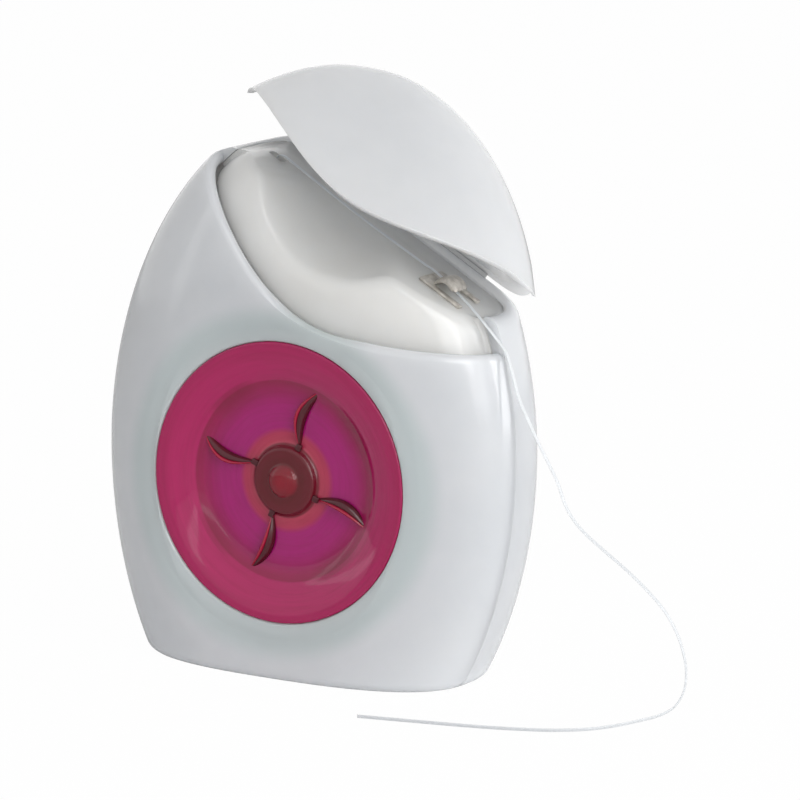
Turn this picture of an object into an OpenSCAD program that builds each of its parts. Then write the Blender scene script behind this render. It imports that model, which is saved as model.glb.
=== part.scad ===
// Dental floss dispenser with a flip lid, a tinted window, a spinning bobbin and a steel cutter.
// Millimetres. X is to the right, Y is depth (the window faces -Y) and Z is up from the table.

/* [Body] */
// Greatest width of the egg-shaped body
body_width = 58.6; // [50:0.2:70]
// Greatest depth of the body
body_depth = 25; // [20:0.2:32]
// Height with the lid closed
body_height = 72; // [66:0.5:84]
// Height of the widest place
widest_height = 28.2; // [22:0.2:34]
// Width of the flat foot
foot_width = 44.7; // [36:0.2:50]
// Wall of the two shells
wall = 1.6; // [1:0.1:2.4]
// Rounding where the foot meets the sides
foot_edge = 1.2; // [0.6:0.1:2]
// How far the seam of the two shells lies in front of the middle
seam_forward = 2.3; // [1:0.1:4]

/* [Rim] */
// Height of the rim at its low right end
rim_low = 42.3; // [40:0.1:46]
// Steepness of the rim where it climbs the left shoulder
rim_rise = 1.52; // [1.2:0.02:1.8]
// Length of the bend between the steep and the level stretch
rim_bend = 9; // [6:0.5:12]
// Where the rim bends, from the middle plane
rim_bend_x = -1.3; // [-4:0.1:2]
// How far the neck's skirt reaches behind the rim
skirt_depth = 1.2; // [0.6:0.1:2]

/* [Lid] */
// Wall of the lid
lid_wall = 1.5; // [1:0.1:2]
// Gap around the lid's edge when it is closed
lid_gap = 0.3; // [0.2:0.05:0.6]
// Slant of the hinge line, down to the right
hinge_slant = 29.5; // [26:0.5:33]
// Distance of the hinge line from the foot's middle, square to its slant
hinge_reach = 53.9; // [52:0.1:57]
// How far the hinge line lies inside the greatest depth
hinge_setback = 5.4; // [4.5:0.1:6.5]
// Angle by which the lid stands open
lid_open = 47; // [40:1:60]
// Middle of the thin web between shell and lid, along the slant
web_place = -22; // [-24:0.5:-20]
// Length of the web
web_length = 27; // [16:0.5:29]
// Thickness of the web
web_thickness = 0.5; // [0.3:0.05:0.8]
// Reach of the web to each side of its fold
web_reach = 1; // [0.8:0.05:1.4]
// Clearance at the ends of the web
web_clearance = 0.3; // [0.2:0.05:0.5]
// Gap at the seam between the lid's skirt and the rear shell, where the floss runs out
skirt_gap = 0.8; // [0.7:0.05:1.2]

/* [Neck] */
// Clearance between the neck and the closed lid
neck_clearance = 0.9; // [0.6:0.1:1.4]
// Step from the hinge line down to the neck's deck
neck_step = 1.5; // [1:0.1:2.5]
// Thickness of the neck's deck and skirt
neck_wall = 1.4; // [1:0.1:2]
// Clearance of the neck in the rear shell
neck_fit = 0.15; // [0.1:0.05:0.3]
// Width and height of the ledge that carries the neck
neck_ledge = 1.6; // [1.2:0.1:2.4]
// Radius of the finger scoop
scoop_radius = 15.8; // [14:0.1:18]
// Middle of the scoop along the slant
scoop_place = -25.5; // [-28:0.5:-23]
// Depth of the scoop at the front of the neck
scoop_depth = 5.6; // [4:0.1:6.5]
// Tilt of the scoop's floor
scoop_tilt = 23.6; // [20:0.2:28]
// Depth of the plane in which the floss leaves the winding
floss_y = 0.3; // [0:0.1:0.5]
// Place of the floss outlet along the slant
outlet_place = -38.4; // [-39:0.1:-37.5]
// Length of the outlet slit
outlet_length = 2.4; // [2:0.1:3]
// Width of the outlet slit
outlet_width = 1.4; // [1.2:0.1:2]

/* [Window] */
// Radius of the window's hole
window_radius = 18; // [16:0.1:18.6]
// Height of the window's middle
window_height = 25.1; // [23:0.1:27]
// How far the window's edge lies behind the front of the body
window_setback = 1.4; // [1.2:0.1:2]
// Clearance of the window in its hole
window_clearance = 0.05; // [0.02:0.01:0.1]
// Slope of the cove around the window
cove_slope = 17.8; // [14:0.2:22]
// Thickness of the window sheet
sheet = 1.2; // [0.8:0.1:1.6]
// Width of the ledge that carries the window
ledge = 1.5; // [1:0.1:2]
// Radius of the dish in the window
dish_radius = 13.4; // [12:0.1:14]
// Depth of the dish
dish_depth = 2.4; // [1.5:0.1:3]
// Radius of the hub in the dish
hub_radius = 4.7; // [4:0.1:5.5]
// Height of the hub over the dish
hub_height = 0.9; // [0.5:0.1:1.5]
// Radius of the nub on the hub
nub_radius = 2.1; // [1.5:0.1:2.5]
// Height of the nub over the hub
nub_height = 0.7; // [0.4:0.1:1.2]
// Width of the flat rim round the window's face
face_rim = 0.6; // [0.4:0.1:1]
// Least depth of the dish's sloping wall
flank = 0.4; // [0.3:0.05:0.6]
// Draft of the hub's side
hub_draft = 0.5; // [0.2:0.1:0.8]
// Height of a vane at its middle
vane_height = 1.9; // [1:0.1:2.2]
// Thickness of a vane
vane_thickness = 0.7; // [0.5:0.1:1.2]
// Direction of the first vane
vane_start = 67.5; // [0:0.5:90]

/* [Bobbin] */
// Radius of the spigot that carries the bobbin
spigot_radius = 3.9; // [3:0.1:4.6]
// Running clearance of the bobbin on the spigot
spin_clearance = 0.08; // [0.03:0.01:0.1]
// Radius of the bobbin's core
core_radius = 6.3; // [5.5:0.1:8]
// Radius of the thrust boss behind the bobbin
boss_radius = 6; // [5:0.1:7]
// Height of the thrust boss over the rear wall
boss_height = 3.6; // [2:0.1:5]
// End play of the bobbin
end_play = 0.3; // [0.2:0.05:0.6]
// How far the core stands out of the winding at each end
core_margin = 0.5; // [0.3:0.1:1]
// Radius of the wound floss under its outer layer
winding_radius = 16.7; // [14:0.1:17.5]
// Distance from turn to turn in the outer layer
turn_pitch = 1.25; // [1.22:0.01:2]
// Radius of a turn of the outer layer
turn_radius = 0.4; // [0.3:0.01:0.4]

/* [Cutter] */
// Length of the cutter plate along the slant
cutter_length = 6.6; // [5:0.1:8]
// Width of the cutter plate
cutter_width = 5.7; // [4.5:0.1:6.5]
// Thickness of the cutter plate
cutter_thickness = 0.4; // [0.3:0.05:0.6]
// Middle of the cutter, from the neck's right end along the slant
cutter_place = 11.6; // [10.6:0.1:13.6]
// Middle of the cutter from front to back
cutter_y = -0.4; // [-1:0.1:0.5]
// Length of the raised tongue
tongue_length = 3.6; // [3:0.1:4.5]
// Width of the raised tongue
tongue_width = 3; // [2.4:0.1:3.4]
// Height of the tongue over the plate
tongue_height = 1.6; // [1.5:0.1:2]
// Share of the arch's span that the tongue keeps before its toothed end
tongue_share = 0.8; // [0.7:0.01:0.82]
// Gap between the tongue and each leg of the plate
tongue_gap = 0.4; // [0.3:0.05:0.6]
// Width of the slit in the tongue's root, where the floss passes
slit_width = 1; // [0.9:0.05:1.4]
// Depth of the teeth
tooth = 0.35; // [0.2:0.05:0.45]
// Number of teeth
teeth = 5; // [3:1:7]

/* [Floss] */
// Width of the floss
floss = 0.6; // [0.4:0.05:0.8]

/* [Hidden] */
$fn = 96;

// Shape of the egg: powers of its outline, its depth and its plan
top_power = 1.89;
low_power = 2.01;
depth_power = 2.6;
plan_power = 2.65;
// The depth starts to fall above this height
shoulder = body_height * 0.528;
// The outline would close this far below its widest place
outline_reach = widest_height / pow(1 - pow(foot_width / body_width, low_power), 1 / low_power);

// Hinge line and the flat land behind it
hinge_y = body_depth / 2 - hinge_setback;
land_slope = 0.36;
land_start = 3;
land_blend = 1.6;

// Deck of the neck, in the slanted frame
deck = hinge_reach - neck_step;
neck_inset = lid_wall + neck_clearance;
neck_lap = 0.5;
neck_depth = 12;
neck_right = (body_width / 2 - neck_inset) * cos(hinge_slant) - rim_low * sin(hinge_slant);
cutter_middle = neck_right - cutter_place;
part_top = body_height - 3;

// Window, its bezel and the room for the bobbin
window_y = -(body_depth / 2 - window_setback);
bezel_radius = window_radius + ledge;
dish_y = window_y + dish_depth;
bezel_back = window_y + sheet + wall / 2;
core_front = dish_y + sheet + end_play;
core_back = body_depth / 2 - wall - boss_height - end_play;
bore_radius = spigot_radius + spin_clearance;

// The cove is cut this far out from the window, past where it meets the shell
cove_reach = 8;
// Room between a vane's ends and the hub and dish
vane_margin = 0.2;

// Outer layer of the winding
loop_rings = 24;
tube_sides = 6;
turn_sink = 0.25;
layer_radius = winding_radius + turn_radius - turn_sink;
layer_width = core_back - core_front - 2 * core_margin - 2 * turn_radius;
turns = floor(layer_width / turn_pitch);

// The floss leaves the winding at this angle
feed_angle = 165.7;
feed_reach = layer_radius + turn_radius + floss;
feed_start = [feed_reach * cos(feed_angle), floss_y, window_height + feed_reach * sin(feed_angle)];

// Colours of the moulded and metal pieces
white_plastic = [0.93, 0.94, 0.95];
warm_white = [0.89, 0.89, 0.86];
window_pink = [0.74, 0.2, 0.4, 0.8];
steel = [0.62, 0.6, 0.57];
floss_white = [0.96, 0.96, 0.98];
core_grey = [0.85, 0.83, 0.86];

far = 200;

// The floss from its outlet over the cutter, down past the rim and along the table to its bare end
strand_points = [
    [-8.3, 0.3, 62.7], [-8.0, 0.3, 63.7], [-7.5, 0.3, 64.6], [-6.6, 0.3, 64.6], [-5.2, 0.3, 63.8],
    [4.4, 0.2, 58.2], [13.5, 0.1, 53.3], [15.3, 0.0, 52.5], [17.0, -0.2, 51.5], [18.3, -0.4, 50.7],
    [19.6, -0.7, 49.8], [21.3, -1.3, 48.8], [22.9, -2.1, 47.9], [24.4, -2.7, 46.9], [26.2, -2.7, 45.1],
    [27.7, -2.9, 43.5], [28.9, -3.3, 41.0],
    [30.1, -3.6, 38.1], [32.7, -3.6, 33.4], [35.5, -3.5, 28.7], [37.0, -3.3, 25.2], [39.0, -3.0, 22.7],
    [41.9, -2.5, 20.4], [44.9, -2.0, 18.2], [47.5, -1.4, 15.9], [49.6, -0.8, 13.6], [50.9, 0.0, 11.1],
    [51.6, 0.8, 8.5], [51.9, 1.4, 5.8], [51.7, 1.4, 3.2], [50.9, 0.5, 1.2], [49.9, -1.8, 0.4],
    [49.1, -5.0, 0.35], [48.0, -8.8, 0.35], [46.1, -12.6, 0.35], [42.8, -15.8, 0.35], [39.1, -17.8, 0.35],
    [35.1, -19.4, 0.35], [30.8, -20.7, 0.35], [24.8, -22.3, 0.35], [19.5, -23.7, 0.35]
];

// Helpers for the egg

function power(t, e) = t <= 0 ? 0 : pow(t, e);

function round_power(c) = sign(c) * power(abs(c), 2 / plan_power);

// Half of the body's width at a height, for a surface set in from the outside
function half_width(z, inset) =
    let (up = z > widest_height,
         span = up ? body_height - inset - widest_height : outline_reach - inset,
         t = min(abs(z - widest_height) / span, 1),
         e = up ? top_power : low_power)
    (body_width / 2 - inset) * power(1 - power(t, e), 1 / e);

// Half of the body's depth at a height
function half_depth(z, inset) =
    let (t = min(max(0, z - shoulder) / (body_height - inset - shoulder), 1))
    (body_depth / 2 - inset) * power(1 - power(t, depth_power), 1 / depth_power);

// The rounding at the foot takes this much off the outside
function foot_round(z, inset) =
    inset > 0 || z >= foot_edge ? 0 : foot_edge - sqrt(foot_edge * foot_edge - pow(foot_edge - z, 2));

// Rear limit of the surface: a flat land at the hinge that slopes out to the full depth below it
function land(x, z, inset) =
    let (reach = x * sin(hinge_slant) + z * cos(hinge_slant),
         u = hinge_reach - land_start - reach)
    hinge_y - inset + land_slope * (u + sqrt(u * u + 1)) / 2;

function soft_min(a, b) =
    let (h = max(land_blend - abs(a - b), 0) / land_blend)
    min(a, b) - h * h * land_blend / 4;

function egg_point(z, angle, inset) =
    let (cut = foot_round(z, inset),
         x = (half_width(z, inset) - cut) * round_power(cos(angle)),
         y = (half_depth(z, inset) - cut) * round_power(sin(angle)))
    [x, y > 0 ? soft_min(y, land(x, z, inset)) : y, z];

// Angle at which a section reaches the plane y = -forward
function seam_angle(z, inset, forward) =
    asin(min(1, power(forward / (half_depth(z, inset) - foot_round(z, inset)), plan_power / 2)));

// Closed solid between the rows of points of a loft; rows have equal counts and flat ends
module loft(rows) {
    n = len(rows[0]);
    last = len(rows) - 1;
    points = [for (row = rows) each row];
    sides = [for (k = [0:last - 1]) for (j = [0:n - 1])
        let (a = k * n + j, b = k * n + (j + 1) % n)
        each [[a, a + n, b + n], [a, b + n, b]]];
    polyhedron(points, concat(sides, [[for (j = [0:n - 1]) j]], [[for (j = [n - 1:-1:0]) last * n + j]]));
}

function foot_rows(z) = concat([for (a = [0, 30, 60]) foot_edge * (1 - cos(a))], z);

function even_rows(low, high, count) = [for (k = [0:count]) low + (high - low) * k / count];

// Rows that crowd towards the top, where the egg closes
function closing_rows(low, high, count) = [for (k = [0:count]) high - (high - low) * pow(1 - k / count, 1.8)];

// Part of the egg behind (side = 1) or in front of (side = -1) the plane y = -forward
module egg_side(inset, side, forward, heights, count) {
    loft([for (z = heights)
        let (edge = seam_angle(z, inset, forward),
             from = side > 0 ? -edge : 180 + edge,
             to = side > 0 ? 180 + edge : 360 - edge)
        [for (j = [0:count]) egg_point(z, from + (to - from) * j / count, inset)]]);
}

module egg_whole(inset, heights, count) {
    loft([for (z = heights) [for (j = [0:count - 1]) egg_point(z, 360 * j / count, inset)]]);
}

// Moves into the slanted frame of the hinge: X along the hinge, Z square to it
module slanted() {
    rotate([0, hinge_slant, 0]) children();
}

// Turns the closed lid about the hinge line
module opened(angle) {
    slanted() translate([0, hinge_y, hinge_reach]) rotate([-angle, 0, 0]) translate([0, -hinge_y, -hinge_reach])
        rotate([0, -hinge_slant, 0]) children();
}

function rim_height(x) =
    let (u = x - rim_bend_x)
    rim_low + rim_rise / 2 * (sqrt(u * u + rim_bend * rim_bend) - u);

// Points of the rim line across the body, raised by lift
function rim_line(lift) =
    let (half = body_width / 2 + 2)
    [for (k = [0:40]) let (x = half * (k / 20 - 1)) [x, rim_height(x) + lift]];

// Everything between the rim line and a height far below or above it
module rim_side(lift, reach) {
    half = body_width / 2 + 2;
    rotate([90, 0, 0]) translate([0, 0, -far / 4]) linear_extrude(far / 2)
        polygon(concat([[half, reach], [-half, reach]], rim_line(lift)));
}

// Slab across the body between two reaches along the slant's normal
module slab(low, high, front, back) {
    slanted() translate([-far / 2, front, low]) cube([far, back - front, high - low]);
}

// Turns a profile in radius and depth about the window's axis
module about_window() {
    translate([0, 0, window_height]) rotate([90, 0, 0]) children();
}

// Plain cylinder on the window's axis from one depth to another
module on_axis(radius, front, back) {
    translate([0, back, window_height]) rotate([90, 0, 0]) cylinder(r = radius, h = back - front);
}

// Sub-parts

module front_shell() {
    front = -body_depth / 2 - 1;
    color(white_plastic) difference() {
        egg_side(0, -1, seam_forward, foot_rows(even_rows(foot_edge, part_top, 24)), 28);
        difference() {
            egg_side(wall, -1, seam_forward - neck_lap, even_rows(wall, part_top + 0.5, 22), 28);
            on_axis(bezel_radius, front, bezel_back);
        }
        on_axis(window_radius, front, window_y + sheet);
        on_axis(window_radius - ledge, front, bezel_back + 1);
        about_window() rotate_extrude() polygon([
            [0, -window_y - sheet / 2],
            [window_radius - window_clearance, -window_y - sheet / 2],
            [window_radius, -window_y],
            [window_radius + cove_reach, -window_y + cove_reach * tan(cove_slope)],
            [0, -window_y + cove_reach * tan(cove_slope)]
        ]);
        rim_side(0, far);
    }
}

module scoop(extra) {
    slanted() translate([scoop_place, -body_depth / 2 + wall * 2, deck - scoop_depth]) rotate([scoop_tilt, 0, 0])
        translate([0, far / 4, scoop_radius]) rotate([90, 0, 0]) cylinder(r = scoop_radius + extra, h = far / 2);
}

// Raised neck: a deck across the body with a skirt behind the rim, a finger scoop and the floss outlet.
// It drops into the rear shell, rests on a ledge there and carries the cutter.
module neck_insert() {
    rows = even_rows(rim_low - skirt_depth, part_top, 9);
    color(warm_white) difference() {
        union() {
            difference() {
                egg_side(neck_inset, -1, seam_forward - neck_lap, rows, 24);
                difference() {
                    egg_side(neck_inset + neck_wall, -1, seam_forward - 2 * neck_lap, rows, 24);
                    slab(deck - neck_wall, far, -far, far);
                    scoop(neck_wall);
                }
                rim_side(-skirt_depth, -far);
            }
            intersection() {
                egg_side(wall + neck_fit, 1, seam_forward, rows, 24);
                union() {
                    slab(deck - neck_wall, far, -far, far);
                    scoop(neck_wall);
                }
                slab(deck - neck_depth, far, -far, hinge_y - wall - neck_fit);
            }
        }
        slab(deck, far, -far, far);
        scoop(0);
        slanted() translate([outlet_place - outlet_length / 2, floss_y - outlet_width / 2, deck - 3 * neck_wall])
            cube([outlet_length, outlet_width, 4 * neck_wall]);
    }
}

module rear_shell() {
    rear = body_depth / 2 - wall;
    color(white_plastic) union() {
        difference() {
            egg_side(0, 1, seam_forward, foot_rows(even_rows(foot_edge, part_top, 24)), 28);
            egg_side(wall, 1, seam_forward + neck_lap, even_rows(wall, part_top + 0.5, 22), 28);
            slab(hinge_reach - lid_gap / 2, far, -far, far);
            slanted() translate([web_place - web_length / 2 - web_clearance, hinge_y - wall, hinge_reach - web_reach])
                cube([web_length + 2 * web_clearance, wall * 2, web_reach]);
        }
        intersection() {
            egg_side(wall / 2, 1, 0, even_rows(rim_low, part_top, 9), 20);
            slab(deck - neck_wall - neck_ledge, deck - neck_wall, hinge_y - wall - neck_ledge, far);
        }
        on_axis(boss_radius, rear - boss_height, rear + wall / 2);
        on_axis(spigot_radius, dish_y + sheet + end_play, rear - boss_height / 2);
    }
}

module lid() {
    low = rim_low - 1;
    front = -seam_forward - skirt_gap;
    color(white_plastic) opened(lid_open) difference() {
        egg_whole(0, closing_rows(low, body_height - 0.04, 14), 44);
        egg_whole(lid_wall, closing_rows(low - 0.5, body_height - lid_wall - 0.04, 14), 44);
        rim_side(lid_gap, -far);
        slab(-far, hinge_reach + lid_gap / 2, front, far);
        slanted() translate([web_place - web_length / 2 - web_clearance, hinge_y - wall, hinge_reach])
            cube([web_length + 2 * web_clearance, wall * 2, web_reach]);
    }
}

// Thin web that folds between the rear shell and the lid
module lid_hinge() {
    color(warm_white) slanted() translate([web_place - web_length / 2, hinge_y, hinge_reach]) rotate([90, 0, 90])
        linear_extrude(web_length) union() {
            translate([-web_thickness / 2, -web_reach]) square([web_thickness, web_reach]);
            rotate(-lid_open) translate([-web_thickness / 2, 0]) square([web_thickness, web_reach]);
            circle(r = web_thickness / 2);
        }
}

// Tinted window: a ring, a dish with a hub and a nub, and four radial vanes
module window_disc() {
    edge = window_radius - window_clearance;
    y0 = -window_y;
    floor_y = y0 - dish_depth;
    inner_edge = edge - face_rim;
    slope = (inner_edge - dish_radius) / dish_depth;
    vane_from = hub_radius + vane_margin;
    vane_length = dish_radius - vane_margin - vane_from;
    vane_curve = (vane_length * vane_length / 4 + vane_height * vane_height) / (2 * vane_height);
    color(window_pink) about_window() union() {
        rotate_extrude() polygon([
            [0, floor_y - sheet],
            [dish_radius - sheet / 2, floor_y - sheet],
            [inner_edge - slope * (sheet - flank), y0 - sheet],
            [edge, y0 - sheet],
            [edge, y0],
            [inner_edge, y0],
            [dish_radius, floor_y],
            [hub_radius, floor_y],
            [hub_radius - hub_draft, floor_y + hub_height],
            each [for (a = [0:22.5:90]) [nub_radius * cos(a), floor_y + hub_height + nub_height * sin(a)]]
        ]);
        for (k = [0:3])
            rotate(vane_start + 90 * k) translate([vane_from, vane_thickness / 2, floor_y]) rotate([90, 0, 0])
                linear_extrude(vane_thickness) intersection() {
                    translate([vane_length / 2, vane_height - vane_curve]) circle(r = vane_curve);
                    translate([0, -sheet / 2]) square([vane_length, vane_height + sheet]);
                }
    }
}

// Steel cutter: a plate with two legs and an arched tongue, toothed at its free end, that bites the floss
module cutter() {
    arch = (tongue_length * tongue_length / 4 + tongue_height * tongue_height) / (2 * tongue_height);
    root = -tongue_length / 2;
    tip = root + tongue_length * tongue_share;
    window = tongue_width + 2 * tongue_gap;
    step = tongue_width / teeth;
    color(steel) slanted() translate([cutter_middle, cutter_y, deck]) difference() {
        union() {
            difference() {
                translate([-cutter_length / 2, -cutter_width / 2, 0])
                    cube([cutter_length, cutter_width, cutter_thickness]);
                translate([root + cutter_thickness, -window / 2, -1]) cube([cutter_length, window, 2]);
            }
            translate([0, tongue_width / 2, cutter_thickness]) rotate([90, 0, 0]) linear_extrude(tongue_width)
                difference() {
                    intersection() {
                        translate([0, tongue_height - arch]) circle(r = arch);
                        translate([root, -cutter_thickness]) square([tip - root, tongue_height * 2]);
                    }
                    translate([0, tongue_height - arch]) circle(r = arch - cutter_thickness);
                    translate([root + cutter_thickness, -cutter_thickness]) square([tongue_length, cutter_thickness]);
                }
        }
        translate([root - cutter_thickness, -slit_width / 2, cutter_thickness])
            cube([4 * cutter_thickness, slit_width, tongue_height / 2]);
        for (k = [0:teeth])
            translate([tip, (k - teeth / 2) * step, 0]) rotate([0, 0, 45])
                translate([-tooth / 2, -tooth / 2, cutter_thickness]) cube([tooth, tooth, tongue_height]);
    }
}

module bobbin_core() {
    color(core_grey) difference() {
        on_axis(core_radius, core_front, core_back);
        on_axis(bore_radius, core_front - 1, core_back + 1);
    }
}

// Outer layer of the winding: one tube in a helix over the wound floss

function turn_ring(k) =
    let (angle = feed_angle + 360 * k / loop_rings,
         depth = core_front + core_margin + turn_radius + (layer_width - turns * turn_pitch) / 2
             + turn_pitch * k / loop_rings)
    [for (j = [0:tube_sides - 1])
        let (out = layer_radius - turn_radius * cos(360 * j / tube_sides))
        [out * cos(angle), depth - turn_radius * sin(360 * j / tube_sides), window_height + out * sin(angle)]];

function least_gap() = min([for (a = [0:loop_rings]) for (p = turn_ring(a))
    min([for (b = [a + loop_rings - 2:a + loop_rings + 2]) for (q = turn_ring(b)) norm(p - q)])]);

echo(str("least gap between the turns of the winding: ", least_gap(), " mm"));

module floss_winding() {
    color(floss_white) union() {
        difference() {
            on_axis(winding_radius, core_front + core_margin, core_back - core_margin);
            on_axis(core_radius, core_front, core_back);
        }
        loft([for (k = [0:turns * loop_rings]) turn_ring(k)]);
    }
}

// The floss runs up from the winding to the outlet
module floss_feed() {
    way = strand_points[0] - feed_start;
    color(floss_white) translate(feed_start) rotate([0, atan2(way[0], way[2]), 0])
        cylinder(r = floss / 2, h = norm([way[0], way[2]]), $fn = 24);
}

// Smooth curve through the strand's points

strand_sides = 8;

function at(i) = strand_points[max(0, min(len(strand_points) - 1, i))];

function between(i, t) =
    0.5 * (2 * at(i) + (at(i + 1) - at(i - 1)) * t + (2 * at(i - 1) - 5 * at(i) + 4 * at(i + 1) - at(i + 2)) * t * t
        + (3 * at(i) - at(i - 1) - 3 * at(i + 1) + at(i + 2)) * t * t * t);

strand_line = concat([for (i = [0:len(strand_points) - 2]) each [at(i), between(i, 0.5)]], [at(len(strand_points))]);

function unit(v) = v / norm(v);

function heading(i) = unit(strand_line[min(i + 1, len(strand_line) - 1)] - strand_line[max(i - 1, 0)]);

// Carries a sideways direction along the curve without twist
function carried(i) = i == 0 ? [0, 1, 0] : let (d = heading(i), s = carried(i - 1)) unit(s - d * (s * d));

function strand_ring(i, side) =
    let (d = heading(i), up = cross(d, side))
    [for (j = [0:strand_sides - 1])
        strand_line[i] + floss / 2 * (cos(360 * j / strand_sides) * side + sin(360 * j / strand_sides) * up)];

module floss_strand() {
    color(floss_white) loft([for (i = [0:len(strand_line) - 1]) strand_ring(i, carried(i))]);
}

front_shell();
rear_shell();
neck_insert();
lid();
lid_hinge();
window_disc();
cutter();
bobbin_core();
floss_winding();
floss_feed();
floss_strand();
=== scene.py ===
"""Looks of a dental floss dispenser: egg-shaped shells, open flip lid, tinted window and drawn floss."""

import logging
import math
from dataclasses import dataclass, replace
from enum import Enum
from typing import Any, Callable, Sequence

import bmesh
import bpy
import numpy as np
from mathutils import Matrix, Vector


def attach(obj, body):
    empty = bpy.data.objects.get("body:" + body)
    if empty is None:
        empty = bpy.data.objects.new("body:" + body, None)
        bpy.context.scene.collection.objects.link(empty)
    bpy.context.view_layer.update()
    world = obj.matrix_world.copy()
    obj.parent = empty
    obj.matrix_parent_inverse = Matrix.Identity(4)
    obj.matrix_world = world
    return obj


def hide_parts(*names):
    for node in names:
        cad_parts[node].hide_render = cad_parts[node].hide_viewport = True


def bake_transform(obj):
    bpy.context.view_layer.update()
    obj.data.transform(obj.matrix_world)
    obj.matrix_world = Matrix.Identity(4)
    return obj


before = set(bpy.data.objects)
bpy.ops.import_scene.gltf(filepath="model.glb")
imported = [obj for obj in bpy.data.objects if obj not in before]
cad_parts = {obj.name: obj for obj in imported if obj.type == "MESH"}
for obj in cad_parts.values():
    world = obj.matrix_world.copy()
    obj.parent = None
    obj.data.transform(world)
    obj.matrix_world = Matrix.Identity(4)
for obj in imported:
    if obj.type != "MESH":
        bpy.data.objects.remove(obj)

LOG = logging.getLogger("floss_dispenser")
MM = 0.001
WINDOW_CENTRE = (0.0, -11.1, 25.1)
OPEN_ANGLE = 47.0
Point = tuple[float, float, float]
Rgb = tuple[float, float, float]
Piece = bpy.types.Object
Material = bpy.types.Material
Array = np.ndarray


class Body(Enum):
    """The bodies of the frame that a piece can ride on."""

    BODY = "body"
    LID = "lid"
    BOBBIN = "bobbin"


class Slot(Enum):
    """The record's material slots."""

    WHITE = "white_shell"
    NECK = "neck_plastic"
    WEB = "hinge_web"
    PINK = "pink_window"
    STEEL = "steel_cutter"
    CORE = "grey_core"
    FLOSS = "floss"


def rgb(painted_lit_side: int, green: int, blue: int) -> Rgb:
    """Returns a colour in linear light from its display values of 0 to 255."""

    def linear(value: float) -> float:
        """Returns one channel in linear light."""
        share = value / 255
        return share / 12.92 if share <= 0.04045 else ((share + 0.055) / 1.055) ** 2.4

    return (linear(painted_lit_side), linear(green), linear(blue))


# Shader graphs


class Socket:
    """An output socket with the operators that shader maths needs."""

    def __init__(self, graph: "Graph", link: bpy.types.NodeSocket) -> None:
        """Wraps link, an output socket of graph."""
        self.graph = graph
        self.link = link

    def _math(self, operation: str, *values: Any) -> "Socket":
        """Adds a Math node with that operation on the values, and returns its result."""
        return self.graph.add("ShaderNodeMath", {"operation": operation}, dict(enumerate(values)))

    def __add__(self, other: Any) -> "Socket":
        """Returns self + other."""
        return self._math("ADD", self, other)

    def __radd__(self, other: Any) -> "Socket":
        """Returns other + self."""
        return self._math("ADD", other, self)

    def __sub__(self, other: Any) -> "Socket":
        """Returns self - other."""
        return self._math("SUBTRACT", self, other)

    def __rsub__(self, other: Any) -> "Socket":
        """Returns other - self."""
        return self._math("SUBTRACT", other, self)

    def __mul__(self, other: Any) -> "Socket":
        """Returns self * other."""
        return self._math("MULTIPLY", self, other)

    def __rmul__(self, other: Any) -> "Socket":
        """Returns other * self."""
        return self._math("MULTIPLY", other, self)

    def __truediv__(self, other: Any) -> "Socket":
        """Returns self / other."""
        return self._math("DIVIDE", self, other)

    def root(self) -> "Socket":
        """Returns the square root."""
        return self._math("SQRT", self)

    def sine(self) -> "Socket":
        """Returns the sine."""
        return self._math("SINE", self)

    def turn(self, other: Any) -> "Socket":
        """Returns the angle whose tangent is self / other."""
        return self._math("ARCTAN2", self, other)

    def between(self, low: float, high: float) -> "Socket":
        """Returns 0 below low, 1 above high and a smooth step between them."""
        return self.graph.add(
            "ShaderNodeMapRange",
            {"interpolation_type": "SMOOTHSTEP"},
            {"Value": self, "From Min": low, "From Max": high},
        )


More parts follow.
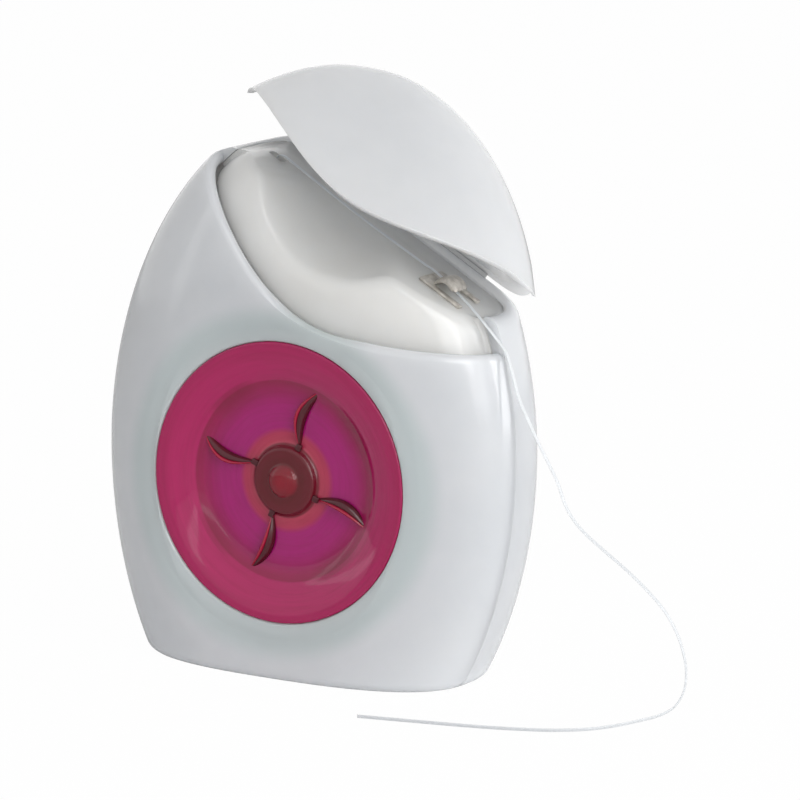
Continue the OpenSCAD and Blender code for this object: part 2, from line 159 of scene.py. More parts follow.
class Graph:
    """A material's node tree with its Principled shader."""

    def __init__(self, name: str) -> None:
        """Makes an empty material of that name."""
        self.material = bpy.data.materials.new(name)
        self.material.use_nodes = True
        self.tree = self.material.node_tree
        self.tree.nodes.clear()
        self.shader = self.tree.nodes.new("ShaderNodeBsdfPrincipled")
        self.output = self.tree.nodes.new("ShaderNodeOutputMaterial")
        self.tree.links.new(self.shader.outputs[0], self.output.inputs["Surface"])

    def add(self, kind: str, settings: dict[str, Any], values: dict[Any, Any], out: Any = 0) -> Socket:
        """Adds a node.

        Args:
            kind: The node's type.
            settings: Its settings, set first. "stops" fills a ramp's stops.
            values: The values or links of its input sockets.
            out: The output socket that is wanted.

        Returns:
            The wanted output.
        """
        node = self.tree.nodes.new(kind)
        for name, value in settings.items():
            if name == "stops":
                self._fill_ramp(node.color_ramp, value)
            else:
                setattr(node, name, value)
        for name, value in values.items():
            self._feed(node.inputs[name], value)
        return Socket(self, node.outputs[out])

    @staticmethod
    def _fill_ramp(ramp: bpy.types.ColorRamp, stops: Sequence[tuple[float, Rgb]]) -> None:
        """Gives ramp these stops, each a place and a colour."""
        while len(ramp.elements) > 1:
            ramp.elements.remove(ramp.elements[-1])
        for index, (place, colour) in enumerate(stops):
            stop = ramp.elements[0] if index == 0 else ramp.elements.new(place)
            stop.position = place
            stop.color = (*colour, 1)

    def _feed(self, socket: bpy.types.NodeSocket, value: Any) -> None:
        """Links value to socket, or sets it there."""
        if isinstance(value, Socket):
            self.tree.links.new(value.link, socket)
        elif isinstance(value, tuple) and len(value) == 3 and socket.type == "RGBA":
            socket.default_value = (*value, 1)
        else:
            socket.default_value = value

    def set(self, **values: Any) -> None:
        """Sets or links the shader's sockets; an underscore in a name stands for a space."""
        for name, value in values.items():
            self._feed(self.shader.inputs[name.replace("_", " ")], value)

    def place(self) -> Socket:
        """Returns the place on the object, in metres."""
        return self.add("ShaderNodeTexCoord", {}, {}, "Object")

    def parts(self, vector: Socket) -> tuple[Socket, Socket, Socket]:
        """Returns the three parts of a vector."""
        split = self.add("ShaderNodeSeparateXYZ", {}, {0: vector})
        outputs = split.link.node.outputs
        return Socket(self, outputs[0]), Socket(self, outputs[1]), Socket(self, outputs[2])

    def vector(self, x: Any, y: Any, z: Any) -> Socket:
        """Returns a vector of three parts."""
        return self.add("ShaderNodeCombineXYZ", {}, {0: x, 1: y, 2: z})

    def noise(self, place: Socket, scale: float, detail: float = 2, rough: float = 0.5) -> Socket:
        """Returns noise from 0 to 1 at that many cells to the metre."""
        values = {"Vector": place, "Scale": scale, "Detail": detail, "Roughness": rough}
        return self.add("ShaderNodeTexNoise", {}, values)

    def mix(self, share: Any, low: Any, high: Any) -> Socket:
        """Returns a colour between low and high."""
        return self.add("ShaderNodeMix", {"data_type": "RGBA"}, {0: share, 6: low, 7: high}, 2)

    def bump(self, height: Socket, strength: float, distance: float) -> Socket:
        """Returns the normal of a surface with that relief."""
        values = {"Height": height, "Strength": strength, "Distance": distance}
        return self.add("ShaderNodeBump", {}, values)


@dataclass(frozen=True)
class MouldedPlastic:
    """Glossy moulded plastic with faint flow clouds, a soft orange peel and fine dust in its roughness, and
    where asked a painted teal-grey shade in the cove round the window.
    """

    name: str
    colour: Rgb
    shade: Rgb
    roughness: float = 0.17
    coat: float = 0.5
    flow: float = 60
    peel: float = 420
    peel_height: float = 0.00002
    scatter: float = 0.0
    scatter_reach: float = 0.012
    # Painted shade: centre, radii and teal-grey colour of the darker ring painted into the cove round the
    # window.
    painted_cove_shade: Point | None = None
    painted_cove_shade_radii: tuple[float, float, float, float] = (17.0, 18.5, 20.5, 23.5)
    painted_cove_shade_colour: Rgb = (0.55, 0.68, 0.66)

    def make(self) -> Material:
        """Returns the material."""
        graph = Graph(self.name)
        place = graph.place()
        flow = graph.noise(place, self.flow, 3, 0.55)
        dust = graph.noise(place, self.peel * 9, 2, 0.6)
        peel = graph.noise(place, self.peel, 1, 0.4)
        colour = graph.mix(flow.between(0.3, 0.7), self.shade, self.colour)
        # Painted shade: the cove round the window is darkened and tinted teal-grey in the colour.
        if self.painted_cove_shade:
            colour = graph.mix(self._painted_cove_shade_share(graph, place) * 0.6, colour, self.painted_cove_shade_colour)
        graph.set(
            Base_Color=colour,
            Roughness=self.roughness + (dust - 0.5) * 0.08 + (flow - 0.5) * 0.06,
            Normal=graph.bump(peel, 0.35, self.peel_height),
            Coat_Weight=self.coat,
            Coat_Roughness=0.06,
            Subsurface_Weight=self.scatter,
            Subsurface_Scale=self.scatter_reach,
            Subsurface_Radius=(1.0, 0.95, 0.88),
        )
        return graph.material

    def _painted_cove_shade_share(self, graph: Graph, place: Socket) -> Socket:
        """Returns how much of the painted teal-grey shade falls on a place in the cove round the window."""
        x, _, z = graph.parts(place)
        dx, dz = x - self.painted_cove_shade[0] * MM, z - self.painted_cove_shade[2] * MM
        radius = (dx * dx + dz * dz).root() / MM
        start, full, fade, end = self.painted_cove_shade_radii
        return radius.between(start, full) * (1 - radius.between(fade, end))


@dataclass(frozen=True)
class TintedWindow:
    """Clear raspberry plastic: rings of tint over the bobbin, fine turned streaks and a polished face."""

    name: str
    centre: Point
    rings: tuple[tuple[float, Rgb], ...]
    reach: float
    dark: Rgb
    clear: float = 0.22

    def make(self) -> Material:
        """Returns the material."""
        graph = Graph(self.name)
        x, _, z = graph.parts(graph.place())
        dx = x - self.centre[0] * MM
        dz = z - self.centre[2] * MM
        radius = (dx * dx + dz * dz).root()
        angle = dz.turn(dx)
        streak = graph.noise(graph.vector(radius * 2600, dx / radius * 1.5, dz / radius * 1.5), 1, 3, 0.6)
        stops = [(r / self.reach, colour) for r, colour in self.rings]
        tint = self._ramp(graph, radius / (self.reach * MM), stops)
        sector = (angle * 4 - 1.1).sine().between(0.15, 1.0)
        edge = (radius / MM).between(9.5, 13.0) * (1 - (radius / MM).between(13.3, 13.6))
        shaded = graph.mix(sector * edge * 0.4, tint, self.dark)
        lines = streak.between(0.35, 0.75)
        graph.set(
            Base_Color=graph.mix(lines * 0.4, shaded, graph.mix(0.5, shaded, self.dark)),
            Roughness=0.06 + lines * 0.05,
            Transmission_Weight=self.clear,
            IOR=1.49,
        )
        return graph.material

    @staticmethod
    def _ramp(graph: Graph, share: Socket, stops: list[tuple[float, Rgb]]) -> Socket:
        """Returns the colour at that share of the reach."""
        return graph.add("ShaderNodeValToRGB", {"stops": stops}, {"Fac": share})


@dataclass(frozen=True)
class StampedSteel:
    """Stainless sheet as it comes off the press: fine rolling lines and dull patches."""

    name: str
    colour: Rgb
    dull: Rgb
    roughness: float = 0.3

    def make(self) -> Material:
        """Returns the material."""
        graph = Graph(self.name)
        place = graph.place()
        x, y, z = graph.parts(place)
        lines = graph.noise(graph.vector(x * 900, y * 9000, z * 900), 1, 2, 0.6)
        patch = graph.noise(place, 900, 3, 0.6)
        graph.set(
            Base_Color=graph.mix(patch.between(0.35, 0.7), self.dull, self.colour),
            Metallic=0.7,
            Roughness=self.roughness + (lines - 0.5) * 0.25 + patch * 0.1,
            Normal=graph.bump(lines, 0.4, 0.00001),
        )
        return graph.material


@dataclass(frozen=True)
class WaxedFloss:
    """Waxed filament floss: fine strands along its run and a soft sheen."""

    name: str
    colour: Rgb
    shade: Rgb
    strands: float = 9000

    def make(self) -> Material:
        """Returns the material."""
        graph = Graph(self.name)
        place = graph.place()
        fine = graph.noise(place, self.strands, 2, 0.6)
        broad = graph.noise(place, 700, 2, 0.5)
        graph.set(
            Base_Color=graph.mix(fine.between(0.3, 0.7) * 0.6 + broad * 0.3, self.colour, self.shade),
            Roughness=0.42 + (fine - 0.5) * 0.2,
            Normal=graph.bump(fine, 0.4, 0.00003),
            Sheen_Weight=0.15,
        )
        return graph.material


# Mesh helpers


def deselect() -> None:
    """Leaves nothing selected."""
    if bpy.context.object is not None and bpy.context.object.mode != "OBJECT":
        bpy.ops.object.mode_set(mode="OBJECT")
    bpy.ops.object.select_all(action="DESELECT")


def activate(piece: Piece) -> None:
    """Selects that piece alone and makes it active."""
    deselect()
    piece.select_set(True)
    bpy.context.view_layer.objects.active = piece


def settle(piece: Piece) -> None:
    """Moves a piece's place, turn and size into its mesh."""
    activate(piece)
    bpy.ops.object.transform_apply(location=True, rotation=True, scale=True)


def finish_modifiers(piece: Piece) -> None:
    """Applies every modifier of a piece in order."""
    activate(piece)
    for modifier in list(piece.modifiers):
        bpy.ops.object.modifier_apply(modifier=modifier.name)


def smooth(piece: Piece, angle: float = 30) -> None:
    """Shades a piece smooth, with edges sharper than angle, in degrees, kept crisp."""
    activate(piece)
    bpy.ops.object.shade_smooth_by_angle(angle=math.radians(angle))


def bevel(piece: Piece, width: float, angle: float = 30) -> None:
    """Rounds a piece's edges sharper than angle, in degrees, by a width in millimetres."""
    modifier = piece.modifiers.new("round", "BEVEL")
    modifier.width = width * MM
    modifier.segments = 3
    modifier.angle_limit = math.radians(angle)
    finish_modifiers(piece)


def edit_all(piece: Piece) -> None:
    """Opens a piece in edit mode with all of it selected."""
    activate(piece)
    bpy.ops.object.mode_set(mode="EDIT")
    bpy.ops.mesh.select_all(action="SELECT")


def outward(piece: Piece, merge: float = 1e-6) -> None:
    """Merges doubles closer than merge and turns all faces outwards."""
    edit_all(piece)
    bpy.ops.mesh.remove_doubles(threshold=merge)
    bpy.ops.mesh.normals_make_consistent(inside=False)
    bpy.ops.object.mode_set(mode="OBJECT")


def grid_piece(name: str, across: int, along: int) -> Piece:
    """Adds a flat grid to be shaped.

    Args:
        name: Name of the piece.
        across: Count of points across, which runs fastest.
        along: Count of points along.

    Returns:
        The new piece, with across * along points.
    """
    deselect()
    bpy.ops.mesh.primitive_grid_add(x_subdivisions=across - 1, y_subdivisions=along - 1, size=1)
    piece = bpy.context.object
    piece.name = name
    return piece


def shape(piece: Piece, points: Array) -> None:
    """Moves a piece's points to these places, in millimetres."""
    piece.data.vertices.foreach_set("co", (points.reshape(-1) * MM).astype(np.float32))
    piece.data.update()


def loft(name: str, rows: Array, ring: bool = False, tube: bool = False) -> Piece:
    """Makes a skin over rows of points.

    Args:
        name: Name of the piece.
        rows: Points in millimetres, as rows by columns by 3.
        ring: Whether the last column joins the first.
        tube: Whether the last row joins the first.

    Returns:
        The new piece, with its doubles merged and its faces outwards.
    """
    if ring:
        rows = np.concatenate([rows, rows[:, :1]], axis=1)
    if tube:
        rows = np.concatenate([rows, rows[:1]], axis=0)
    piece = grid_piece(name, rows.shape[1], rows.shape[0])
    shape(piece, rows)
    outward(piece, 2e-6)
    return piece


def close_sides(piece: Piece) -> None:
    """Closes each open loop of a piece with a face of its own and turns its faces outwards."""
    mesh = bmesh.new()
    mesh.from_mesh(piece.data)
    open_edges = [edge for edge in mesh.edges if edge.is_boundary]
    bmesh.ops.holes_fill(mesh, edges=open_edges, sides=0)
    bmesh.ops.recalc_face_normals(mesh, faces=mesh.faces)
    mesh.to_mesh(piece.data)
    mesh.free()


def boolean(piece: Piece, other: Piece, operation: str) -> None:
    """Cuts or joins piece with other, which is removed."""
    modifier = piece.modifiers.new("shape", "BOOLEAN")
    modifier.operation = operation
    modifier.solver = "EXACT"
    modifier.object = other
    finish_modifiers(piece)
    bpy.data.objects.remove(other)


def dress(piece: Piece, material: Material, body: Body, slot: Slot, *nodes: str) -> None:
    """Gives a finished piece its finish and its place in the frame.

    Args:
        piece: The piece.
        material: Its finish.
        body: The body that it rides on.
        slot: Not used.
        nodes: The nodes that it stands for.
    """
    piece.data.materials.clear()
    piece.data.materials.append(material)
    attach(piece, body.value)
    if nodes:
        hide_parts(*nodes)
    LOG.info("%s: %d faces", piece.name, len(piece.data.polygons))


# The egg that all the shells follow


def power(base: Array, exponent: float) -> Array:
    """Returns base to that exponent, with 0 for what lies below 0."""
    return np.power(np.clip(base, 0, None), exponent)


def soft_max(one: Any, other: Any, soft: Any) -> Array:
    """Returns the greater value, blended over soft where the two are close."""
    near = np.clip(soft - np.abs(one - other), 0, None) / soft
    return np.maximum(one, other) + near * near * soft / 4


def soft_min(one: Any, other: Any, soft: Any) -> Array:
    """Returns the smaller value, blended over soft where the two are close."""
    return -soft_max(-one, -other, soft)


def curve(points: Sequence[Sequence[float]], steps: int) -> Array:
    """Returns a smooth line through points, with that many steps between two of them."""
    way = np.array(points, float)
    ends = np.concatenate([way[:1], way, way[-1:]])
    out = []
    for a, b, c, d in zip(ends, ends[1:], ends[2:], ends[3:]):
        for t in np.arange(steps) / steps:
            out.append(0.5 * (2 * b + (c - a) * t + (2 * a - 5 * b + 4 * c - d) * t * t
                              + (3 * b - a - 3 * c + d) * t**3))
    return np.array([*out, way[-1]])


@dataclass(frozen=True)
class Egg:
    """The body's surface in millimetres: a superellipse in plan whose width and depth fall with height."""

    width: float = 58.6
    depth: float = 25.0
    height: float = 72.0
    widest: float = 28.2
    foot: float = 44.7
    foot_edge: float = 1.2
    top_power: float = 1.89
    low_power: float = 2.01
    depth_power: float = 2.6
    plan_power: float = 2.65
    slant: float = 29.5
    hinge_y: float = 7.1
    hinge_reach: float = 53.9
    land_start: float = 3.0
    land_slope: float = 0.36
    land_blend: float = 1.6
    corner_soft: float = 1.6

    @property
    def shoulder(self) -> float:
        """Height above which the depth falls."""
        return self.height * 0.528

    @property
    def reach(self) -> float:
        """How far below its widest place the outline would close."""
        return self.widest / (1 - (self.foot / self.width) ** self.low_power) ** (1 / self.low_power)

    def half_width(self, z: Array, inset: float) -> Array:
        """Returns half of the width at a height, for a surface set in from the outside."""
        up = np.clip((z - self.widest) / (self.height - inset - self.widest), 0, 1)
        down = np.clip((self.widest - z) / (self.reach - inset), 0, 1)
        above = power(1 - power(up, self.top_power), 1 / self.top_power)
        below = power(1 - power(down, self.low_power), 1 / self.low_power)
        return (self.width / 2 - inset) * np.where(z > self.widest, above, below)

    def half_depth(self, z: Array, inset: float) -> Array:
        """Returns half of the depth at a height, for a surface set in from the outside."""
        up = np.clip((z - self.shoulder) / (self.height - inset - self.shoulder), 0, 1)
        return (self.depth / 2 - inset) * power(1 - power(up, self.depth_power), 1 / self.depth_power)

    def foot_round(self, z: Array, inset: float) -> Array:
        """Returns what the rounding at the foot takes off the outside."""
        edge = self.foot_edge
        if inset > 0:
            return np.zeros_like(z)
        return np.where(z < edge, edge - np.sqrt(np.clip(edge**2 - (edge - z) ** 2, 0, None)), 0.0)

    def along(self, x: Array, z: Array) -> Array:
        """Returns the reach of a place square to the slanted hinge line."""
        turn = math.radians(self.slant)
        return x * math.sin(turn) + z * math.cos(turn)

    def hinge_axes(self) -> tuple[Vector, Vector]:
        """Returns the directions along the slanted hinge line and square to it."""
        turn = math.radians(self.slant)
        return Vector((math.cos(turn), 0, -math.sin(turn))), Vector((math.sin(turn), 0, math.cos(turn)))

    def over_slant(self, places: Array, reach: float, corner: float) -> Array:
        """Returns how far places lie over a slanted edge whose left end falls away.

        Args:
            places: The places.
            reach: Reach of the edge along the hinge.
            corner: Reach of its falling end where the hinge line would start.

        Returns:
            Values above 0 over the edge.
        """
        turn = math.radians(self.slant)
        x, z = places[..., 0], places[..., 2]
        falling = corner + x * math.cos(turn) - z * math.sin(turn)
        return self.along(x, z) - soft_min(reach, falling, self.corner_soft)

    def land(self, x: Array, z: Array, inset: float) -> Array:
        """Returns the rear limit of the surface behind the hinge."""
        u = self.hinge_reach - self.land_start - self.along(x, z)
        return self.hinge_y - inset + self.land_slope * (u + np.sqrt(u * u + 1)) / 2

    def seam_angle(self, z: Array, inset: float, forward: float) -> Array:
        """Returns the plan angle, in radians, at which a section reaches the plane y = -forward."""
        deep = np.maximum(self.half_depth(z, inset) - self.foot_round(z, inset), 1e-6)
        return np.arcsin(np.clip(power(forward / deep, self.plan_power / 2), 0, 1))

    def point(self, z: Array, angle: Array, inset: float) -> Array:
        """Returns the places on the surface at these heights and plan angles, in radians."""
        z, angle = np.broadcast_arrays(np.asarray(z, float), np.asarray(angle, float))
        cut = self.foot_round(z, inset)
        cosine, sine = np.cos(angle), np.sin(angle)
        x = (self.half_width(z, inset) - cut) * np.sign(cosine) * power(np.abs(cosine), 2 / self.plan_power)
        y = (self.half_depth(z, inset) - cut) * np.sign(sine) * power(np.abs(sine), 2 / self.plan_power)
        low = soft_min(y, self.land(x, z, inset), self.land_blend)
        return np.stack([x, np.where(y > 0, low, y), z], -1)

    def climb(self, angle_at: Callable[[Array], Array], above: Callable[[Array], Array],
              search: tuple[float, float], count: int, inset: float) -> Array:
        """Finds where each column of the surface first rises above a limit.

        Args:
            angle_at: Returns the plan angles of all columns at their heights.
            above: Returns above 0 for places above the limit.
            search: Lowest and greatest height tried.
            count: Count of columns.
            inset: How far the surface is set in.

        Returns:
            The height of the limit in each column.
        """
        below, over = (np.full(count, height) for height in search)
        for _ in range(40):
            middle = (below + over) / 2
            inside = above(self.point(middle, angle_at(middle), inset)) > 0
            over = np.where(inside, middle, over)
            below = np.where(inside, below, middle)
        return (below + over) / 2


@dataclass(frozen=True)
class Rim:
    """The rim line of the body as seen from the front: level at the right, climbing at the left."""

    low: float = 42.3
    rise: float = 1.52
    bend: float = 9.0
    bend_x: float = -1.3

    def height(self, x: Array) -> Array:
        """Returns the rim's height at x."""
        u = x - self.bend_x
        return self.low + self.rise / 2 * (np.sqrt(u * u + self.bend**2) - u)


EGG = Egg()
RIM = Rim()


def slanted(piece: Piece, place: Point, tilt: float = 0) -> None:
    """Turns a piece into the slanted frame of the hinge, at a place in it, leaning by tilt."""
    turn = Matrix.Rotation(math.radians(EGG.slant), 4, "Y")
    lean = Matrix.Rotation(math.radians(tilt), 4, "X")
    piece.data.transform(turn @ Matrix.Translation(Vector(place) * MM) @ lean)


def block(name: str, low: Point, high: Point, edge: float = 0) -> Piece:
    """Returns a box between two corners, in millimetres, with its edges rounded by edge."""
    deselect()
    bpy.ops.mesh.primitive_cube_add(size=1)
    piece = bpy.context.object
    piece.name = name
    piece.scale = [(b - a) * MM for a, b in zip(low, high)]
    piece.location = [(b + a) / 2 * MM for a, b in zip(low, high)]
    settle(piece)
    if edge:
        bevel(piece, edge)
    return piece


def spread(start: Array, end: Array, count: int, ease: float = 1.0) -> Array:
    """Returns count rows from one row of places to another; ease above 1 crowds the start."""
    share = np.linspace(0, 1, count) ** ease
    return start[None] + (end - start)[None] * share.reshape(-1, *([1] * start.ndim))


def half_round(outer: Array, inner: Array, lift: Array, count: int) -> Array:
    """Returns rows that turn over an edge in a half circle from outer to inner, raised along lift."""
    middle = (outer + inner) / 2
    arm = outer - middle
    radius = np.linalg.norm(arm, axis=-1, keepdims=True)
    turn = np.linspace(0, math.pi, count)[1:-1].reshape(-1, 1, 1)
    return middle[None] + arm[None] * np.cos(turn) + (lift * radius)[None] * np.sin(turn)


@dataclass
class Shells:
    """Front and rear shell: two moulded halves of the egg, joined a little in front of the middle."""

    egg: Egg = EGG
    rim: Rim = RIM
    wall: float = 1.6
    seam: float = 2.3
    seam_gap: float = 0.05
    window_radius: float = 18.0
    window_height: float = WINDOW_CENTRE[2]
    window_y: float = WINDOW_CENTRE[1]
    cove_slope: float = 17.8
    cove_blend: float = 1.4
    lip: float = 0.25
    sheet: float = 1.2
    ledge: float = 1.5
    bezel_wall: float = 0.8
    rear_reach: float = 53.75
    corner: float = 94.1
    edge: tuple[tuple[float, float], ...] = (
        (0.0, 0.5), (0.1, 0.22), (0.3, 0.06), (0.6, 0.0),
        (0.95, 0.06), (1.25, 0.22), (1.45, 0.4), (1.6, 0.6),
    )
    sides: tuple[int, int, int] = (150, 72, 150)
    rear_columns: int = 220
    rim_search: tuple[float, float] = (30.0, 69.0)
    rear_search: tuple[float, float] = (30.0, 69.8)

    def front_sheet(self, tau: Array, z: Array, inset: float) -> Array:
        """Returns places on the front half.

        Args:
            tau: From -1 at the left seam to 1 at the right one.
            z: Heights in millimetres.
            inset: How far the surface is set in.

        Returns:
            The places.
        """
        span = math.pi / 2 - self.egg.seam_angle(z, inset, self.seam + self.seam_gap)
        bend = np.sign(tau) * np.abs(tau) ** (self.egg.plan_power / 2)
        return self.egg.point(z, 1.5 * math.pi + span * bend, inset)

    def across(self, x: Array, z: Array, inset: float) -> Array:
        """Returns the tau of places on the front half that lie at x and z."""
        share = np.clip(np.abs(x) / self.egg.half_width(z, inset), 0, 1)
        angle = np.arcsin(power(share, self.egg.plan_power / 2))
        span = math.pi / 2 - self.egg.seam_angle(z, inset, self.seam + self.seam_gap)
        return np.sign(x) * power(angle / span, 2 / self.egg.plan_power)

    def rim_z(self, tau: Array, inset: float, drop: float) -> Array:
        """Returns the height at which each column reaches the rim line, lowered by drop."""
        def angles(z: Array) -> Array:
            """Returns the plan angles at these heights."""
            span = math.pi / 2 - self.egg.seam_angle(z, inset, self.seam + self.seam_gap)
            return 1.5 * math.pi + span * np.sign(tau) * np.abs(tau) ** (self.egg.plan_power / 2)

        def over(place: Array) -> Array:
            """Returns above 0 over the rim line."""
            return place[:, 2] - self.rim.height(place[:, 0]) + drop

        return self.egg.climb(angles, over, self.rim_search, tau.size, inset)

    def carve(self, places: Array) -> Array:
        """Sinks the cove round the window into places on the outside, with a soft edge."""
        x, y, z = places[..., 0], places[..., 1], places[..., 2]
        radius = np.hypot(x, z - self.window_height)
        cove = self.window_y - (radius - self.window_radius) * math.tan(math.radians(self.cove_slope))
        crisp = np.maximum(y, cove)
        fade = np.clip((radius - self.window_radius) / 2, 0, 1)
        deep = crisp + (soft_max(y, cove, self.cove_blend) - crisp) * fade
        return np.stack([x, np.where(y < 0, deep, y), z], -1)

    def outline(self) -> tuple[Array, Array]:
        """Returns, round the front half from its lower left corner, the tau and the share of the height."""
        low, side, top = self.sides
        tau = np.concatenate([
            np.linspace(-1, 1, low, endpoint=False),
            np.full(side, 1.0),
            np.linspace(1, -1, top, endpoint=False),
            np.full(side, -1.0),
        ])
        share = np.concatenate([
            np.zeros(low),
            np.linspace(0, 1, side, endpoint=False),
            np.ones(top),
            np.linspace(1, 0, side, endpoint=False),
        ])
        return tau, share

    def front(self) -> Piece:
        """Returns the front shell: one closed skin from the window over the edges and back inside."""
        tau, share = self.outline()
        low, side, top = self.sides
        on_top = np.zeros(tau.size, bool)
        on_top[low + side:low + side + top + 1] = True
        on_foot = np.zeros(tau.size, bool)
        on_foot[:low + 1] = True
        edge_radius = self.wall / 2
        outer_top = self.rim_z(tau, 0.0, edge_radius)
        inner_top = self.rim_z(tau, self.wall, edge_radius)
        outer_z = share * outer_top
        inner_z = self.wall + share * (inner_top - self.wall)
        angle = self._window_angles(tau, outer_z)
        cosine, sine = np.cos(angle), np.sin(angle)

        def circle(radius: float, y: float) -> Array:
            """Returns a circle about the window's axis."""
            high = self.window_height + radius * sine
            return np.stack([radius * cosine, np.full(tau.size, y), high], -1)

        skin = self._skin(circle(self.window_radius + self.lip, 0), tau, outer_z, 0.0, 90)
        inner = self._skin(circle(self.window_radius + self.ledge, 0), tau, inner_z, self.wall, 24)[::-1]
        rim_lift = self._rim_lift(skin[-1], tau)
        turn = spread(skin[-1], inner[0], 10)[1:-1]
        turn[:, on_top] = half_round(skin[-1][on_top], inner[0][on_top], rim_lift[on_top], 10)
        turn[:, on_foot] = self._foot_turn(skin[-1][on_foot], inner[0][on_foot])
        lip = [
            circle(self.window_radius, self.window_y + self.sheet),
            circle(self.window_radius, self.window_y + self.lip),
            circle(self.window_radius + self.lip * 0.3, self.window_y + self.lip * 0.3),
        ]
        back = self.window_y + self.sheet + self.bezel_wall
        bezel = [
            circle(self.window_radius + self.ledge, back),
            circle(self.window_radius - self.ledge, back),
            circle(self.window_radius - self.ledge, self.window_y + self.sheet),
        ]
        rows = np.concatenate([skin, turn, inner, np.stack(bezel + lip)])
        return loft("front_shell_moulding", rows, ring=True, tube=True)

    def _window_angles(self, tau: Array, z: Array) -> Array:
        """Returns the angle round the window at which each column starts."""
        flat_x = tau * self.egg.width / 2
        angle = np.unwrap(np.arctan2(z - self.window_height, flat_x))
        even = angle[0] + np.linspace(0, 2 * math.pi, tau.size, endpoint=False)
        return angle * 0.75 + even * 0.25

    def _skin(self, start: Array, tau: Array, z: Array, inset: float, count: int) -> Array:
        """Returns rows of the front half from a circle round the window out to its outline."""
        from_z = start[:, 2]
        from_tau = self.across(start[:, 0], from_z, inset)
        share = (np.linspace(0, 1, count) ** 1.35)[:, None]
        row_z = from_z + (z - from_z) * share
        row_tau = from_tau + (tau - from_tau) * share
        rows = self.front_sheet(row_tau.ravel(), row_z.ravel(), inset).reshape(count, -1, 3)
        return self.carve(rows) if inset == 0 else rows

    def _rim_lift(self, edge: Array, tau: Array) -> Array:
        """Returns the direction in which the skin climbs at its upper edge."""
        below = self.front_sheet(tau, edge[:, 2] - 0.5, 0.0)
        lift = edge - below
        return lift / np.linalg.norm(lift, axis=-1, keepdims=True)

    def _foot_turn(self, outer: Array, inner: Array) -> Array:
        """Returns rows that run along the flat foot to the seam, up its edge and back along the inside."""
        seam = -(self.seam + self.seam_gap)
        outer_seam = outer.copy()
        outer_seam[:, 1] = seam
        inner_seam = inner.copy()
        inner_seam[:, 1] = seam
        below = spread(outer, outer_seam, 5)[1:]
        above = spread(inner_seam, inner, 5)[:-1]
        return np.concatenate([below, above])

    def rear(self) -> Piece:
        """Returns the rear shell: one closed skin from the foot up to the slanted edge and down inside."""
        count = self.rear_columns
        outer_top = self._rear_top(count, *self.edge[0])
        inner_top = self._rear_top(count, *self.edge[-1])
        foot_rows = self.egg.foot_edge * (1 - np.cos(np.radians(np.linspace(0, 90, 7))))
        outer = self._rear_skin(count, 0.0, foot_rows, outer_top, 120)
        inner = self._rear_skin(count, self.wall, np.array([self.wall]), inner_top, 60)[::-1]
        edge = np.stack([self._rear_edge(count, inset, drop) for inset, drop in self.edge[1:-1]])
        seam = -self.seam
        floor_in = inner[-1].copy()
        floor_in[:, 1] = seam
        floor_out = outer[0].copy()
        floor_out[:, 1] = seam
        floor = np.concatenate([spread(inner[-1], floor_in, 4)[1:], spread(floor_out, outer[0], 4)[:-1]])
        rows = np.concatenate([outer, edge, inner, floor])
        piece = loft("rear_shell_moulding", rows, tube=True)
        close_sides(piece)
        return piece

    def _rear_angles(self, z: Array, share: Array, inset: float) -> Array:
        """Returns the plan angles of the rear half, by share from the right seam to the left one."""
        edge = self.egg.seam_angle(z, inset, self.seam)
        return -edge + (math.pi + 2 * edge) * share

    def _rear_edge(self, count: int, inset: float, drop: float) -> Array:
        """Returns the row of the rounded upper edge that is set in and lowered by these amounts."""
        heights = self._rear_top(count, inset, drop)
        return self.egg.point(heights, self._rear_angles(heights, np.linspace(0, 1, count), inset), inset)

    def _rear_top(self, count: int, inset: float, drop: float) -> Array:
        """Returns the height at which each column reaches the slanted upper edge, lowered by drop."""
        share = np.linspace(0, 1, count)

        def angles(z: Array) -> Array:
            """Returns the plan angles at these heights."""
            return self._rear_angles(z, share, inset)

        def over(place: Array) -> Array:
            """Returns above 0 over the slanted edge."""
            return self.egg.over_slant(place, self.rear_reach, self.corner) + drop

        return self.egg.climb(angles, over, self.rear_search, count, inset)

    def _rear_skin(self, count: int, inset: float, foot: Array, top: Array, rows: int) -> Array:
        """Returns rows of the rear half from the foot up to its upper edge."""
        share = np.linspace(0, 1, count)
        low = foot[-1]
        climb = np.linspace(0, 1, rows)[1:, None]
        heights = np.concatenate([np.repeat(foot[:, None], count, 1), low + (top[None] - low) * climb])
        shares = np.repeat(share[None], heights.shape[0], 0)
        angles = self._rear_angles(heights, shares, inset)
        return self.egg.point(heights, angles, inset)

    def build(self, plastic: Material, painted_cove_white: Material) -> None:
        """Makes both shells and dresses them."""
        front = self.front()
        smooth(front, 32)
        dress(front, painted_cove_white, Body.BODY, Slot.WHITE, "front_shell")
        rear = self.rear()
        smooth(rear, 32)
        dress(rear, plastic, Body.BODY, Slot.WHITE, "rear_shell")


